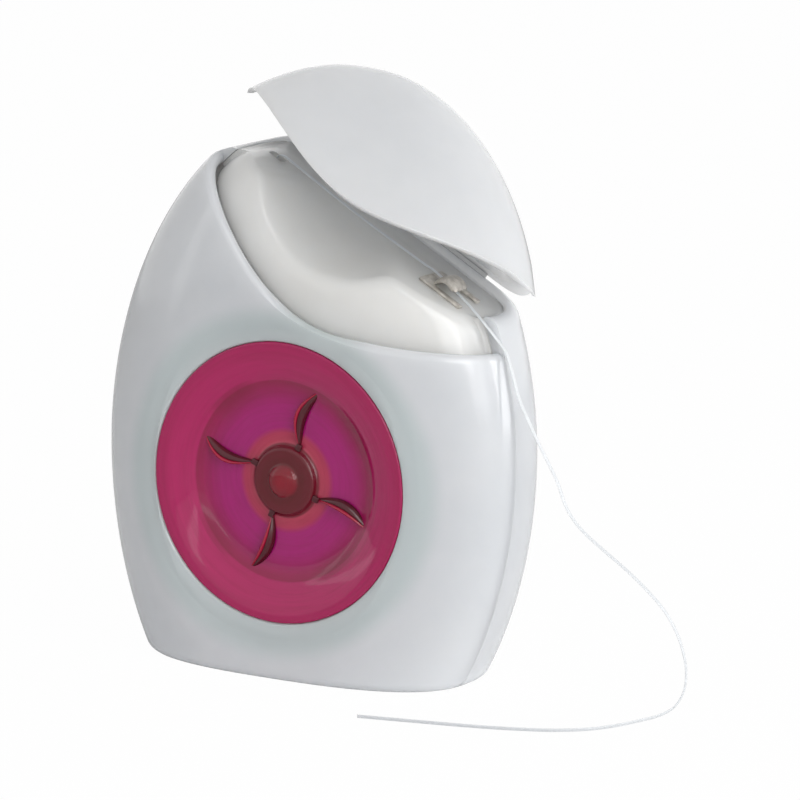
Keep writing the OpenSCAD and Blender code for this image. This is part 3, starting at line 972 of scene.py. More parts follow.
@dataclass
class Lid:
    """The flip lid, modelled closed and turned open about the slanted hinge line."""

    egg: Egg = EGG
    rim: Rim = RIM
    wall: float = 1.5
    gap: float = 0.3
    open_angle: float = OPEN_ANGLE
    seam: float = 3.1
    rear_reach: float = 54.05
    corner: float = 96.8
    relief: float = 0.5
    tip_length: float = 0.07
    tip_share: float = 0.25
    edge: float = 0.14
    front_columns: int = 170
    rear_columns: int = 130
    corner_search: tuple[float, float] = (40.0, 69.0)
    slant_search: tuple[float, float] = (38.0, 69.5)
    rim_search: tuple[float, float] = (38.0, 69.0)
    skirt_rows: int = 44
    crown_rows: int = 84

    def _seam(self, z: Array, inset: float, top: float) -> Array:
        """Returns the seam's plan angle at a height, held above the top of the seam's edge."""
        return self.egg.seam_angle(np.minimum(z, top), inset, self.seam)

    def _angles(self, z: Array, share: Array, front: bool, inset: float,
                tops: tuple[float, float]) -> Array:
        """Returns the plan angles of the front or rear columns.

        Args:
            z: Heights.
            share: Place of each column, from 0 to 1.
            front: Whether they are the front columns, which run from left to right.
            inset: How far the surface is set in.
            tops: Heights of the upper ends of the seam's edges, left and right.

        Returns:
            The angles in radians.
        """
        left = math.pi + self._seam(z, inset, tops[0])
        right = 2 * math.pi - self._seam(z, inset, tops[1])
        if not front:
            left, right = right - 2 * math.pi, left
        return left + (right - left) * share

    def _corner(self, side: int, inset: float) -> float:
        """Returns the height at which the seam line on that side, -1 or 1, meets the slanted edge."""
        def angles(z: Array) -> Array:
            """Returns the seam's plan angle at these heights."""
            edge = self.egg.seam_angle(z, inset, self.seam)
            return math.pi + edge if side < 0 else -edge

        return float(self.egg.climb(angles, self._over_slant, self.corner_search, 1, inset)[0])

    def _over_slant(self, place: Array) -> Array:
        """Returns above 0 over the slanted edge."""
        return self.egg.over_slant(place, self.rear_reach, self.corner)

    def _over_rim(self, place: Array) -> Array:
        """Returns above 0 over the edge at the rim."""
        return place[:, 2] - self.rim.height(place[:, 0]) - self.gap

    def _skin(self, inset: float) -> tuple[Array, Array]:
        """Returns the skirt's rows and the crown's rows of the outer or inner skin, from the edge up."""
        tops = (self._corner(-1, inset), self._corner(1, inset))
        front = np.linspace(0, 1, self.front_columns)
        rear = np.linspace(0, 1, self.rear_columns)[1:-1]
        peak = self.egg.height - inset

        def front_angles(z: Array) -> Array:
            """Returns the front columns' angles."""
            return self._angles(z, front, True, inset, tops)

        def rear_angles(z: Array) -> Array:
            """Returns the rear columns' angles."""
            return self._angles(z, rear, False, inset, tops)

        low = self._rim_edge(inset)
        if inset > 0:
            low = np.maximum(low, self._rim_edge(0.0) + self.relief)
        middle = self.egg.climb(front_angles, self._over_slant, self.slant_search, front.size, inset)
        middle = np.maximum(middle, low + self.edge)
        behind = self.egg.climb(rear_angles, self._over_slant, self.slant_search, rear.size, inset)
        skirt_z = spread(low, middle, self.skirt_rows)
        skirt = self.egg.point(skirt_z, self._angles(skirt_z, front[None], True, inset, tops), inset)
        climb = 1 - (1 - np.linspace(0, 1, self.crown_rows)) ** 1.8
        crown_z = middle[None] + (peak - middle)[None] * climb[:, None]
        crown = self.egg.point(crown_z, self._angles(crown_z, front[None], True, inset, tops), inset)
        rear_z = behind[None] + (peak - behind)[None] * climb[:, None]
        back = self.egg.point(rear_z, self._angles(rear_z, rear[None], False, inset, tops), inset)
        return skirt, np.concatenate([crown, back], axis=1)

    def _thin_tips(self, outer: Array, inner: Array) -> Array:
        """Returns the inner skin drawn up to the outer one at the lid's two tips."""
        front = np.linspace(0, 1, self.front_columns)
        rear = np.linspace(0, 1, self.rear_columns)[1:-1]
        share = np.concatenate([front, rear])[:outer.shape[1]]
        near = np.clip(np.minimum(share, 1 - share) / self.tip_length, 0, 1)
        keep = self.tip_share + (1 - self.tip_share) * near * near * (3 - 2 * near)
        return outer + (inner - outer) * keep[None, :, None]

    def _rim_edge(self, inset: float) -> Array:
        """Returns the height of each front column's edge at the rim."""
        tops = (self._corner(-1, inset), self._corner(1, inset))
        share = np.linspace(0, 1, self.front_columns)

        def angles(z: Array) -> Array:
            """Returns the front columns' angles."""
            return self._angles(z, share, True, inset, tops)

        return self.egg.climb(angles, self._over_rim, self.rim_search, share.size, inset)

    def _turn_open(self, piece: Piece) -> None:
        """Turns the closed lid open about its hinge line."""
        axis, across = self.egg.hinge_axes()
        pivot = (across * self.egg.hinge_reach + Vector((0, self.egg.hinge_y, 0))) * MM
        swing = Matrix.Rotation(-math.radians(self.open_angle), 4, axis)
        piece.data.transform(Matrix.Translation(pivot) @ swing @ Matrix.Translation(-pivot))

    def build(self, plastic: Material) -> None:
        """Makes the lid and dresses it."""
        outer_skirt, outer_crown = self._skin(0.0)
        inner_skirt, inner_crown = self._skin(self.wall)
        inner_skirt = self._thin_tips(outer_skirt, inner_skirt)
        inner_crown = self._thin_tips(outer_crown, inner_crown)
        skins = [
            loft("lid_crown", outer_crown, ring=True),
            loft("lid_skirt", outer_skirt),
            loft("lid_inner_crown", inner_crown, ring=True),
            loft("lid_inner_skirt", inner_skirt),
            self._edge_strip(outer_skirt, inner_skirt, outer_crown, inner_crown),
        ]
        deselect()
        for skin in skins:
            skin.select_set(True)
        bpy.context.view_layer.objects.active = skins[0]
        bpy.ops.object.join()
        lid = bpy.context.object
        lid.name = "lid_moulding"
        outward(lid, 4e-6)
        bevel(lid, self.edge, 50)
        self._turn_open(lid)
        smooth(lid, 35)
        dress(lid, plastic, Body.LID, Slot.WHITE, "lid")

    def _edge_strip(self, outer: Array, inner: Array, outer_crown: Array,
                    inner_crown: Array) -> Piece:
        """Returns the strip that closes the lid's edge from the outer to the inner skin."""
        rear_outer = outer_crown[0, self.front_columns:]
        rear_inner = inner_crown[0, self.front_columns:]
        around_outer = np.concatenate([outer[0], outer[1:, -1], rear_outer, outer[::-1, 0][:-1]])
        around_inner = np.concatenate([inner[0], inner[1:, -1], rear_inner, inner[::-1, 0][:-1]])
        return loft("lid_edge", np.stack([around_outer, around_inner]), ring=True)


@dataclass
class Neck:
    """The raised neck under the lid: deck, finger scoop, skirt and floss outlet, with soft edges."""

    egg: Egg = EGG
    rim: Rim = RIM
    inset: float = 2.2
    rear_inset: float = 1.68
    corner: float = 92.9
    rear_limit: float = 5.35
    deck: float = 52.4
    seam: float = 2.3
    step: float = 0.35
    soft: float = 1.3
    rear_soft: float = 0.5
    flow: float = 0.8
    flow_width: float = 2.2
    end_spare: float = 0.3
    skirt: float = 1.2
    voxel: float = 0.24
    scoop_radius: float = 15.8
    scoop_place: float = -25.5
    scoop_depth: float = 5.6
    scoop_tilt: float = 23.6
    scoop_front: float = -9.3
    outlet_place: float = -38.4
    outlet_length: float = 2.4
    outlet_width: float = 1.4
    outlet_y: float = 0.3

    def _scoop(self, places: Array) -> Array:
        """Returns how far places lie outside the scoop's cylinder, below 0 inside it."""
        turn, tilt = math.radians(self.egg.slant), math.radians(self.scoop_tilt)
        x, y, z = places.T
        along = x * math.cos(turn) - z * math.sin(turn) - self.scoop_place
        up = self.egg.along(x, z) - (self.deck - self.scoop_depth)
        out = y - self.scoop_front
        square = up * math.cos(tilt) - out * math.sin(tilt) - self.scoop_radius
        return np.hypot(along, square) - self.scoop_radius

    def _side(self, places: Array) -> Array:
        """Returns roughly how far places lie outside the neck's wall."""
        x, y, z = places.T
        inset = self.rear_inset + (self.inset - self.rear_inset) * self._front_share(y)
        wide = np.maximum(self.egg.half_width(z, inset), 1e-3)
        deep = np.maximum(self.egg.half_depth(z, inset), 1e-3)
        n = self.egg.plan_power
        value = power(np.abs(x) / wide, n) + power(np.abs(y) / deep, n)
        slope = n * np.hypot(power(np.abs(x) / wide, n - 1) / wide, power(np.abs(y) / deep, n - 1) / deep)
        return (value - 1) / np.maximum(slope, 1e-3)

    def _outside(self, places: Array) -> Array:
        """Returns above 0 outside the neck, with its edges softened."""
        behind = 1 - self._front_share(places[:, 1])
        wall = np.maximum(self._side(places), places[:, 1] - self.rear_limit)
        fillet = self.flow * np.clip(1 + wall / self.flow_width, 0, 1) ** 2 * behind
        deck = self.egg.over_slant(places, self.deck, self.corner) - fillet
        top = soft_max(deck, -self._scoop(places), self.soft)
        return soft_max(top, wall, self.soft + (self.rear_soft - self.soft) * behind)

    def _front_share(self, y: Array) -> Array:
        """Returns 1 in front of the seam, 0 behind it."""
        return np.clip((-y - self.seam) / self.step, 0, 1)

    def _draw_on(self, piece: Piece) -> None:
        """Draws the points of a roughly cut neck on to its exact soft surface."""
        mesh = piece.data
        places = np.empty(len(mesh.vertices) * 3, np.float32)
        mesh.vertices.foreach_get("co", places)
        places = places.reshape(-1, 3).astype(float) / MM
        small, reach, above_edge, stride = 0.02, 1.6, 0.6, 0.4
        for _ in range(5):
            value = self._outside(places)
            slope = np.stack([
                (self._outside(places + shift) - value) / small for shift in np.eye(3) * small
            ], -1)
            length = np.maximum((slope**2).sum(-1), 0.25)
            move = -(value / length)[:, None] * slope
            near = (np.abs(value) < reach) & (places[:, 2] > self._low(places) + above_edge)
            places[near] += np.clip(move, -stride, stride)[near]
        shape(piece, places)

    def _low(self, places: Array) -> Array:
        """Returns the height of the neck's hidden lower edge."""
        return self.rim.height(places[:, 0]) - self.skirt

    def build(self, plastic: Material) -> None:
        """Makes the neck and dresses it."""
        neck = self._blank()
        boolean(neck, self._below_rim(), "INTERSECT")
        self._cut_slant(neck)
        boolean(neck, self._scoop_cutter(), "DIFFERENCE")
        modifier = neck.modifiers.new("even", "REMESH")
        modifier.mode = "VOXEL"
        modifier.voxel_size = self.voxel * MM
        modifier = neck.modifiers.new("soft", "SMOOTH")
        modifier.factor = 0.5
        modifier.iterations = 4
        finish_modifiers(neck)
        self._draw_on(neck)
        boolean(neck, self._outlet_cutter(), "DIFFERENCE")
        smooth(neck, 40)
        dress(neck, plastic, Body.BODY, Slot.NECK, "neck_insert")

    def _blank(self) -> Piece:
        """Returns a solid egg set in from the outside, cut off behind the hinge's wall."""
        heights = np.concatenate([np.linspace(38, 66, 60), 69.6 - 3.6 * np.linspace(1, 0, 30)[1:] ** 2])
        angles = np.linspace(0, 2 * math.pi, 200, endpoint=False)
        front = self.egg.point(heights[:, None], angles[None], self.inset)
        rear = self.egg.point(heights[:, None], angles[None], self.rear_inset)
        places = np.where(rear[..., 1:2] > -self.seam, rear, front)
        places[..., 1] = np.minimum(places[..., 1], self.rear_limit)
        piece = loft("neck_moulding", places, ring=True)
        close_sides(piece)
        return piece

    def _below_rim(self) -> Piece:
        """Returns the room over the neck's lower edge."""
        x = np.linspace(-34, 34, 90)
        low = self.rim.height(x) - self.skirt
        rows = []
        for y, z in ((-20, low), (20, low), (20, np.full_like(x, 90)), (-20, np.full_like(x, 90))):
            rows.append(np.stack([x, np.full_like(x, y), z], -1))
        piece = loft("neck_room", np.stack(rows), tube=True)
        close_sides(piece)
        return piece

    def _cut_slant(self, neck: Piece) -> None:
        """Cuts the neck off a little over its slanted deck and over its falling left end."""
        axis, across = self.egg.hinge_axes()
        falling = (across - axis).normalized()
        over_deck = self.deck + self.flow / 2
        over_end = self.corner / math.sqrt(2) + self.end_spare
        for normal, reach in ((across, over_deck), (falling, over_end)):
            edit_all(neck)
            bpy.ops.mesh.bisect(
                plane_co=normal * reach * MM, plane_no=normal, use_fill=True, clear_outer=True)
            bpy.ops.object.mode_set(mode="OBJECT")

    def _scoop_cutter(self) -> Piece:
        """Returns the cylinder that hollows the finger scoop."""
        deselect()
        bpy.ops.mesh.primitive_cylinder_add(vertices=180, radius=self.scoop_radius * MM, depth=60 * MM,
                                            rotation=(math.pi / 2, 0, 0))
        piece = bpy.context.object
        settle(piece)
        piece.data.transform(Matrix.Translation((0, 0, self.scoop_radius * MM)))
        slanted(piece, (self.scoop_place, self.scoop_front, self.deck - self.scoop_depth), self.scoop_tilt)
        return piece

    def _outlet_cutter(self) -> Piece:
        """Returns the slot that the floss comes out of."""
        half = (self.outlet_length / 2, self.outlet_width / 2)
        piece = block("outlet", (-half[0], -half[1], -3), (half[0], half[1], 3), 0.4)
        slanted(piece, (self.outlet_place, self.outlet_y, self.deck))
        return piece


@dataclass
class Cutter:
    """The steel cutter: a plate with two legs and an arched, toothed tongue that bites the floss."""

    place: Point = (-9.02, -0.4, 52.4)
    length: float = 6.6
    width: float = 5.7
    thickness: float = 0.4
    root: float = -1.8
    tip: float = 1.55
    tongue_width: float = 3.5
    tongue_height: float = 1.6
    sheet: float = 0.32
    gap: float = 0.15
    dome: float = 0.45
    slit: float = 1.0
    teeth: int = 5
    tooth: float = 0.3
    edge: float = 0.14

    def _plate(self) -> Piece:
        """Returns the plate with its two legs and a small turned-up tab."""
        half, room = self.width / 2, self.tongue_width / 2 + self.gap
        plate = block("cutter_plate", (-self.length / 2, -half, 0), (self.length / 2, half, self.thickness))
        slot = block("slot", (self.root + self.thickness, -room, -1), (self.length, room, 2), 0.3)
        boolean(plate, slot, "DIFFERENCE")
        bevel(plate, self.edge, 40)
        tab = block("tab", (-1.5, half - 0.45, 0.1), (-0.5, half - 0.1, self.thickness + 0.5), 0.1)
        boolean(plate, tab, "UNION")
        return plate

    def _tongue(self) -> Piece:
        """Returns the arched tongue, domed across, with teeth along its free end."""
        arch = (self.root**2 + self.tongue_height**2) / (2 * self.tongue_height)
        rise = self.thickness + self.tongue_height - arch
        start, end = math.radians(186), math.acos(self.tip / arch)
        across = np.linspace(-0.5, 0.5, 81)[None]
        share = np.linspace(0, 1, 60)[:, None]
        teeth = np.abs((across + 0.5) * self.teeth % 1 - 0.5) * 2 * self.tooth / arch
        angle = start + (end - start) * share + teeth * np.clip(share * 8 - 7, 0, 1)
        outer = arch - self.dome * (2 * across) ** 4 * np.sin(np.clip(share, 0, 1) * 2.4)

        def skin(radius: Array) -> Array:
            """Returns rows of the tongue at that radius."""
            y = np.broadcast_to(across * self.tongue_width, radius.shape)
            return np.stack([radius * np.cos(angle), y, rise + radius * np.sin(angle)], -1)

        top, under, middle = skin(outer), skin(outer - self.sheet), skin(outer - self.sheet / 2)
        rows = np.concatenate([top, under[:, ::-1]], axis=1)
        ends = np.concatenate([middle, middle[:, ::-1]], axis=1)
        return loft("tongue", np.concatenate([ends[:1], rows, ends[-1:]]), ring=True)

    def build(self, steel: Material) -> None:
        """Makes the cutter and dresses it."""
        plate, tongue = self._plate(), self._tongue()
        low = (self.root - 0.6, -self.slit / 2, self.thickness)
        high = (self.root + 1.0, self.slit / 2, self.thickness + self.tongue_height / 2)
        boolean(tongue, block("slit", low, high), "DIFFERENCE")
        activate(plate)
        tongue.select_set(True)
        bpy.ops.object.join()
        piece = bpy.context.object
        slanted(piece, self.place)
        smooth(piece, 35)
        dress(piece, steel, Body.BODY, Slot.STEEL, "cutter")


@dataclass
class WindowDisc:
    """The tinted window: a ring round a dish with a hub, a nub and four curved vanes, each a maroon blade
    with painted shade and a red band of painted light on its lit side.
    """

    centre: Point = WINDOW_CENTRE
    radius: float = 17.95
    sheet: float = 1.2
    ledge: float = 1.5
    dish_radius: float = 13.4
    dish_depth: float = 2.4
    hub_radius: float = 4.7
    hub_height: float = 0.9
    nub_radius: float = 2.1
    nub_height: float = 0.7
    vane_bow: float = 1.25
    vane: tuple[float, float, float] = (0.0, 0.75, 1.0)
    # Painted light: shift, half thickness and height of the red copy laid on each vane's lit side.
    painted_lit_band: tuple[float, float, float] = (0.5, 0.42, 1.15)
    lit_sides: tuple[int, ...] = (1, 1, -1, -1)
    tab: Point = (0.95, 0.5, 0.75)
    vane_start: float = 67.5
    vanes: int = 4
    steps: int = 256

    def _profile(self) -> tuple[list[tuple[float, float]], list[tuple[float, float]]]:
        """Returns the section's face and its back, in radius and in height over the window's face."""
        floor = -self.dish_depth
        face = [
            (0.0, floor + self.hub_height + self.nub_height),
            (self.nub_radius * 0.45, floor + self.hub_height + self.nub_height * 0.93),
            (self.nub_radius * 0.8, floor + self.hub_height + self.nub_height * 0.62),
            (self.nub_radius, floor + self.hub_height + 0.1),
            (self.nub_radius + 0.35, floor + self.hub_height),
            (self.hub_radius - 0.9, floor + self.hub_height),
            (self.hub_radius - 0.45, floor + self.hub_height - 0.15),
            (self.hub_radius - 0.2, floor + 0.25),
            (self.hub_radius + 0.25, floor + 0.02),
            (self.hub_radius + 1.5, floor),
            (self.dish_radius - 2.6, floor + 0.12),
            (self.dish_radius - 1.0, floor + 0.55),
            (self.dish_radius + 0.3, floor + 1.25),
            (self.dish_radius + 1.6, -0.62),
            (self.dish_radius + 2.9, -0.2),
            (self.radius - 0.5, -0.03),
            (self.radius - 0.12, -0.06),
            (self.radius, -0.25),
        ]
        back = [
            (self.radius, -self.sheet + 0.02),
            (self.radius - self.ledge - 0.4, -self.sheet + 0.02),
            (self.dish_radius - self.sheet / 2, floor - self.sheet),
            (0.0, floor - self.sheet),
        ]
        return face, back

    def _revolve(self) -> Piece:
        """Spins the section, its face smoothed and its back left straight, about the window's axis."""
        face, back = self._profile()
        fine = [(max(float(r), 0.0), float(h)) for r, h in curve(face, 4)[:-1]] + face[-1:] + back
        deselect()
        bpy.ops.mesh.primitive_plane_add(size=MM)
        piece = bpy.context.object
        piece.name = "window_ring_and_dish"
        mesh = bmesh.new()
        points = [mesh.verts.new((r * MM, -h * MM, 0)) for r, h in fine]
        for one, other in zip(points, points[1:]):
            mesh.edges.new((one, other))
        mesh.to_mesh(piece.data)
        mesh.free()
        edit_all(piece)
        bpy.ops.mesh.spin(steps=self.steps, angle=math.tau, center=(0, 0, 0), axis=(0, 1, 0))
        bpy.ops.object.mode_set(mode="OBJECT")
        piece.data.transform(Matrix.Translation(Vector(self.centre) * MM))
        outward(piece, 3e-6)
        return piece

    def _vane(self, shift: float, half: float, high: float) -> Piece:
        """Returns one crescent blade that swells in a bow from the hub to the dish's wall.

        Args:
            shift: How far it lies beside the vane's middle line, in millimetres.
            half: Half of its thickness at its widest place.
            high: Its height over the dish's floor at its highest place.

        Returns:
            The blade, about the window's centre.
        """
        start, end = self.hub_radius + 0.1, self.dish_radius - 0.2
        rows = []
        for share in np.linspace(0, 1, 40):
            bow = math.sin(math.pi * share)
            turn = np.linspace(0, 2 * math.pi, 20, endpoint=False)
            up = 0.5 - 0.5 * np.cos(turn)
            across = (0.05 + half * bow**0.8) * np.sin(turn)
            side = (self.vane_bow + shift) * bow + across * (1 - 0.4 * up)
            depth = self.dish_depth + 0.3 - (0.4 + high * bow**0.8) * up
            rows.append(np.stack([np.full_like(turn, start + (end - start) * share), depth, side], -1))
        piece = loft("window_vane", np.array(rows), ring=True)
        close_sides(piece)
        return piece

    def _tab(self) -> Piece:
        """Returns the small rounded tab at the root of a vane."""
        middle = (self.hub_radius + 0.1, self.dish_depth - 0.35, 0.0)
        low, high = (tuple(m + way * size / 2 for m, size in zip(middle, self.tab)) for way in (-1, 1))
        return block("window_tab", low, high, 0.12)

    def _place(self, piece: Piece, name: str, index: int, plastic: Material) -> None:
        """Turns a piece of the dish to the place of a vane and dresses it."""
        piece.name = f"{name}_{index + 1}"
        angle = math.radians(self.vane_start + 360 * index / self.vanes)
        turn = Matrix.Rotation(-angle, 4, "Y")
        piece.data.transform(Matrix.Translation(Vector(self.centre) * MM) @ turn)
        smooth(piece, 40)
        dress(piece, plastic, Body.BODY, Slot.PINK)

    def build(self, plastic: Material, painted_lit_side: Material, dark: Material) -> None:
        """Makes the window, its vanes and tabs, and dresses them; each vane gets a red copy as painted
        light on its lit side.
        """
        disc = self._revolve()
        smooth(disc, 40)
        dress(disc, plastic, Body.BODY, Slot.PINK, "window_disc")
        shift, half, high = self.painted_lit_band
        # Painted light and shade: a maroon blade with painted shade, and a red copy shifted to its lit
        # side.
        for index, side in enumerate(self.lit_sides):
            self._place(self._vane(*self.vane), "window_vane", index, dark)
            self._place(self._vane(side * shift, half, high), "window_vane_painted_lit_side", index, painted_lit_side)
            self._place(self._tab(), "window_tab", index, dark)


@dataclass
class Bobbin:
    """The bobbin inside: a plain core on the shell's spigot and the wound floss round it."""

    centre_z: float = WINDOW_CENTRE[2]
    core_front: float = -7.2
    core_back: float = 7.0
    core_radius: float = 6.3
    bore_radius: float = 3.98
    margin: float = 0.5
    winding_radius: float = 16.7
    turn_radius: float = 0.33
    turn_pitch: float = 0.7
    turn_rings: int = 48
    turn_sides: int = 8

    def _revolve(self, name: str, section: list[tuple[float, float]], steps: int) -> Piece:
        """Returns a ring with that section in radius and depth about the bobbin's axis."""
        angle = np.linspace(0, 2 * math.pi, steps, endpoint=False)
        rows = [
            np.stack([r * np.cos(angle), np.full_like(angle, y), self.centre_z + r * np.sin(angle)], -1)
            for r, y in section
        ]
        return loft(name, np.stack(rows), ring=True, tube=True)

    def core(self) -> Piece:
        """Returns the core, with eased edges at both ends."""
        ease = 0.35
        bore, rim = self.bore_radius, self.core_radius
        front, back = self.core_front, self.core_back
        section = [
            (bore, front + ease), (bore + ease, front), (rim - ease, front), (rim, front + ease),
            (rim, back - ease), (rim - ease, back), (bore + ease, back), (bore, back - ease),
        ]
        return self._revolve("bobbin_tube", section, 96)

    def body_of_floss(self) -> Piece:
        """Returns the wound floss under its outer layer, with the turns showing in both ends."""
        front, back = self.core_front + self.margin, self.core_back - self.margin
        ripple, count = 0.12, 20
        radii = np.linspace(self.core_radius + 0.02, self.winding_radius - 0.1, count * 4 + 1)
        wave = ripple * (0.5 + 0.5 * np.cos(np.arange(radii.size) * math.pi / 2))
        section = [(float(r), front + float(w)) for r, w in zip(radii, wave)]
        section += [(float(r), back - float(w)) for r, w in zip(radii[::-1], wave[::-1])]
        return self._revolve("winding_body", section, 128)

    def outer_turns(self) -> Piece:
        """Returns the outer layer: one tube in a close helix."""
        width = self.core_back - self.core_front - 2 * self.margin - 2 * self.turn_radius
        turns = int(width / self.turn_pitch)
        start = self.core_front + self.margin + self.turn_radius + (width - turns * self.turn_pitch) / 2
        step = np.arange(turns * self.turn_rings + 1)
        angle = step * 2 * math.pi / self.turn_rings
        depth = start + self.turn_pitch * step / self.turn_rings
        side = np.linspace(0, 2 * math.pi, self.turn_sides, endpoint=False)
        out = self.winding_radius - 0.05 + self.turn_radius * np.cos(side)[None]
        rows = np.stack([
            out * np.cos(angle)[:, None],
            depth[:, None] + self.turn_radius * np.sin(side)[None],
            self.centre_z + out * np.sin(angle)[:, None],
        ], -1)
        piece = loft("winding_outer_turns", rows, ring=True)
        close_sides(piece)
        return piece

    def build(self, plastic: Material, floss: Material) -> None:
        """Makes the bobbin and dresses it."""
        core = self.core()
        smooth(core, 30)
        dress(core, plastic, Body.BOBBIN, Slot.CORE, "bobbin_core")
        body = self.body_of_floss()
        smooth(body, 50)
        dress(body, floss, Body.BOBBIN, Slot.FLOSS, "floss_winding")
        turns = self.outer_turns()
        smooth(turns, 60)
        dress(turns, floss, Body.BOBBIN, Slot.FLOSS)


@dataclass
class Floss:
    """The drawn floss: a thin ribbon from the outlet over the cutter, past the rim and along the table."""

    width: float = 0.6
    thickness: float = 0.16
    steps: int = 8
    route: tuple[Point, ...] = (
        (-8.3, 0.3, 62.7), (-8.0, 0.3, 63.7), (-7.5, 0.3, 64.6), (-6.6, 0.3, 64.6),
        (-5.2, 0.3, 63.8), (4.4, 0.2, 58.2), (13.5, 0.1, 53.3), (15.3, 0.0, 52.5),
        (17.0, -0.2, 51.5), (18.3, -0.4, 50.7), (19.6, -0.7, 49.8), (21.3, -1.3, 48.8),
        (22.9, -2.1, 47.9), (24.4, -2.7, 46.9), (26.2, -2.7, 45.1), (27.7, -2.9, 43.5),
        (28.9, -3.3, 41.0), (30.1, -3.6, 38.1), (32.7, -3.6, 33.4), (35.5, -3.5, 28.7),
        (37.0, -3.3, 25.2), (39.0, -3.0, 22.7), (41.9, -2.5, 20.4), (44.9, -2.0, 18.2),
        (47.5, -1.4, 15.9), (49.6, -0.8, 13.6), (50.9, 0.0, 11.1), (51.6, 0.8, 8.5),
        (51.9, 1.4, 5.8), (51.7, 1.4, 3.2), (50.9, 0.5, 1.2), (49.9, -1.8, 0.4),
        (49.1, -5.0, 0.35), (48.0, -8.8, 0.35), (46.1, -12.6, 0.35), (42.8, -15.8, 0.35),
        (39.1, -17.8, 0.35), (35.1, -19.4, 0.35), (30.8, -20.7, 0.35), (24.8, -22.3, 0.35),
        (19.5, -23.7, 0.35),
    )
    feed_angle: float = 165.7
    feed_radius: float = 17.55
    feed_y: float = 0.3
    window_height: float = WINDOW_CENTRE[2]

    def ribbon(self, name: str, line: Array) -> Piece:
        """Returns a ribbon of the floss's section along a line, carried without twist."""
        side = np.array([0.0, 1.0, 0.0])
        headings = np.gradient(line, axis=0)
        headings /= np.linalg.norm(headings, axis=1, keepdims=True)
        turn = np.linspace(0, 2 * math.pi, 10, endpoint=False)
        rows = []
        for place, heading in zip(line, headings):
            side = side - heading * (side @ heading)
            side = side / np.linalg.norm(side)
            up = np.cross(heading, side)
            wide = np.sign(np.cos(turn)) * np.abs(np.cos(turn)) ** 0.6 * self.width / 2
            high = np.sign(np.sin(turn)) * np.abs(np.sin(turn)) ** 0.8 * self.thickness / 2
            rows.append(place + wide[:, None] * side + high[:, None] * up)
        piece = loft(name, np.array(rows), ring=True)
        close_sides(piece)
        return piece

    def build(self, floss: Material) -> None:
        """Makes the drawn floss and the stretch inside, and dresses them."""
        line = curve(self.route, self.steps)
        strand = self.ribbon("drawn_floss", line)
        smooth(strand, 60)
        dress(strand, floss, Body.BODY, Slot.FLOSS, "floss_strand")
        angle = math.radians(self.feed_angle)
        low = (self.feed_radius * math.cos(angle), self.feed_y,
               self.window_height + self.feed_radius * math.sin(angle))
        feed = self.ribbon("floss_inside", np.linspace(low, self.route[0], 12))
        smooth(feed, 60)
        dress(feed, floss, Body.BODY, Slot.FLOSS, "floss_feed")


@dataclass
class HingeWeb:
    """The thin web that folds between the rear shell and the lid."""

    egg: Egg = EGG
    open_angle: float = OPEN_ANGLE
    place: float = -22.0
    length: float = 27.0
    thickness: float = 0.5
    reach: float = 1.0
    bend: float = 0.45

    def _section(self) -> Array:
        """Returns the web's middle line in depth and in reach, from the shell to the lid."""
        turn = math.radians(self.open_angle)
        foot, fold = np.array([0.0, -self.reach]), np.array([0.0, 0.0])
        tip = np.array([math.sin(turn), math.cos(turn)]) * self.reach
        one, other = fold + (foot - fold) * self.bend, fold + (tip - fold) * self.bend
        share = np.linspace(0, 1, 9)[:, None]
        arc = one * (1 - share) ** 2 + 2 * fold * share * (1 - share) + other * share**2
        return np.concatenate([[foot], arc, [tip]])

    def _world(self, along: Array, depth: Array, reach: Array) -> Array:
        """Returns places given along the hinge, in depth and square to the hinge."""
        turn = math.radians(self.egg.slant)
        high = self.egg.hinge_reach + reach
        x = along * math.cos(turn) + high * math.sin(turn)
        z = -along * math.sin(turn) + high * math.cos(turn)
        return np.stack([x, self.egg.hinge_y + depth, z], -1)

    def build(self, plastic: Material) -> None:
        """Makes the web, shaped bent between the shell and the lid at the open angle."""
        middle = self._section()
        heading = np.gradient(middle, axis=0)
        heading /= np.linalg.norm(heading, axis=1, keepdims=True)
        across = np.stack([heading[:, 1], -heading[:, 0]], -1)
        thin = self.thickness * (0.55 + 0.45 * np.abs(np.linspace(-1, 1, len(middle))))[:, None] / 2
        ring = np.concatenate([middle + across * thin, (middle - across * thin)[::-1]])
        along = np.linspace(-0.5, 0.5, 30) * self.length + self.place
        rows = [self._world(np.full(len(ring), a), ring[:, 0], ring[:, 1]) for a in along]
        web = loft("hinge_web", np.array(rows), ring=True)
        close_sides(web)
        smooth(web, 50)
        web.data.materials.append(plastic)
        ends = [self._world(np.array(self.place), np.array(middle[k, 0]), np.array(middle[k, 1])) * MM
                for k in (1, -2)]
        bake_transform(web)
        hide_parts("lid_hinge")
        LOG.info("%s: %d faces", web.name, len(web.data.polygons))


@dataclass(frozen=True)
class Lamp:
    """A soft rectangular lamp: its place and aim in metres, its size and its power in watts."""

    name: str
    place: Point
    size: tuple[float, float]
    power: float
    aim: Point = (0.0, 0.0, 0.036)

    def make(self) -> None:
        """Makes the lamp."""
        data = bpy.data.lights.new(self.name, "AREA")
        data.shape = "RECTANGLE"
        data.size, data.size_y = self.size
        data.energy = self.power
        lamp = bpy.data.objects.new(self.name, data)
        bpy.context.scene.collection.objects.link(lamp)
        lamp.location = self.place
        lamp.rotation_euler = (Vector(self.aim) - Vector(self.place)).to_track_quat("-Z", "Y").to_euler()


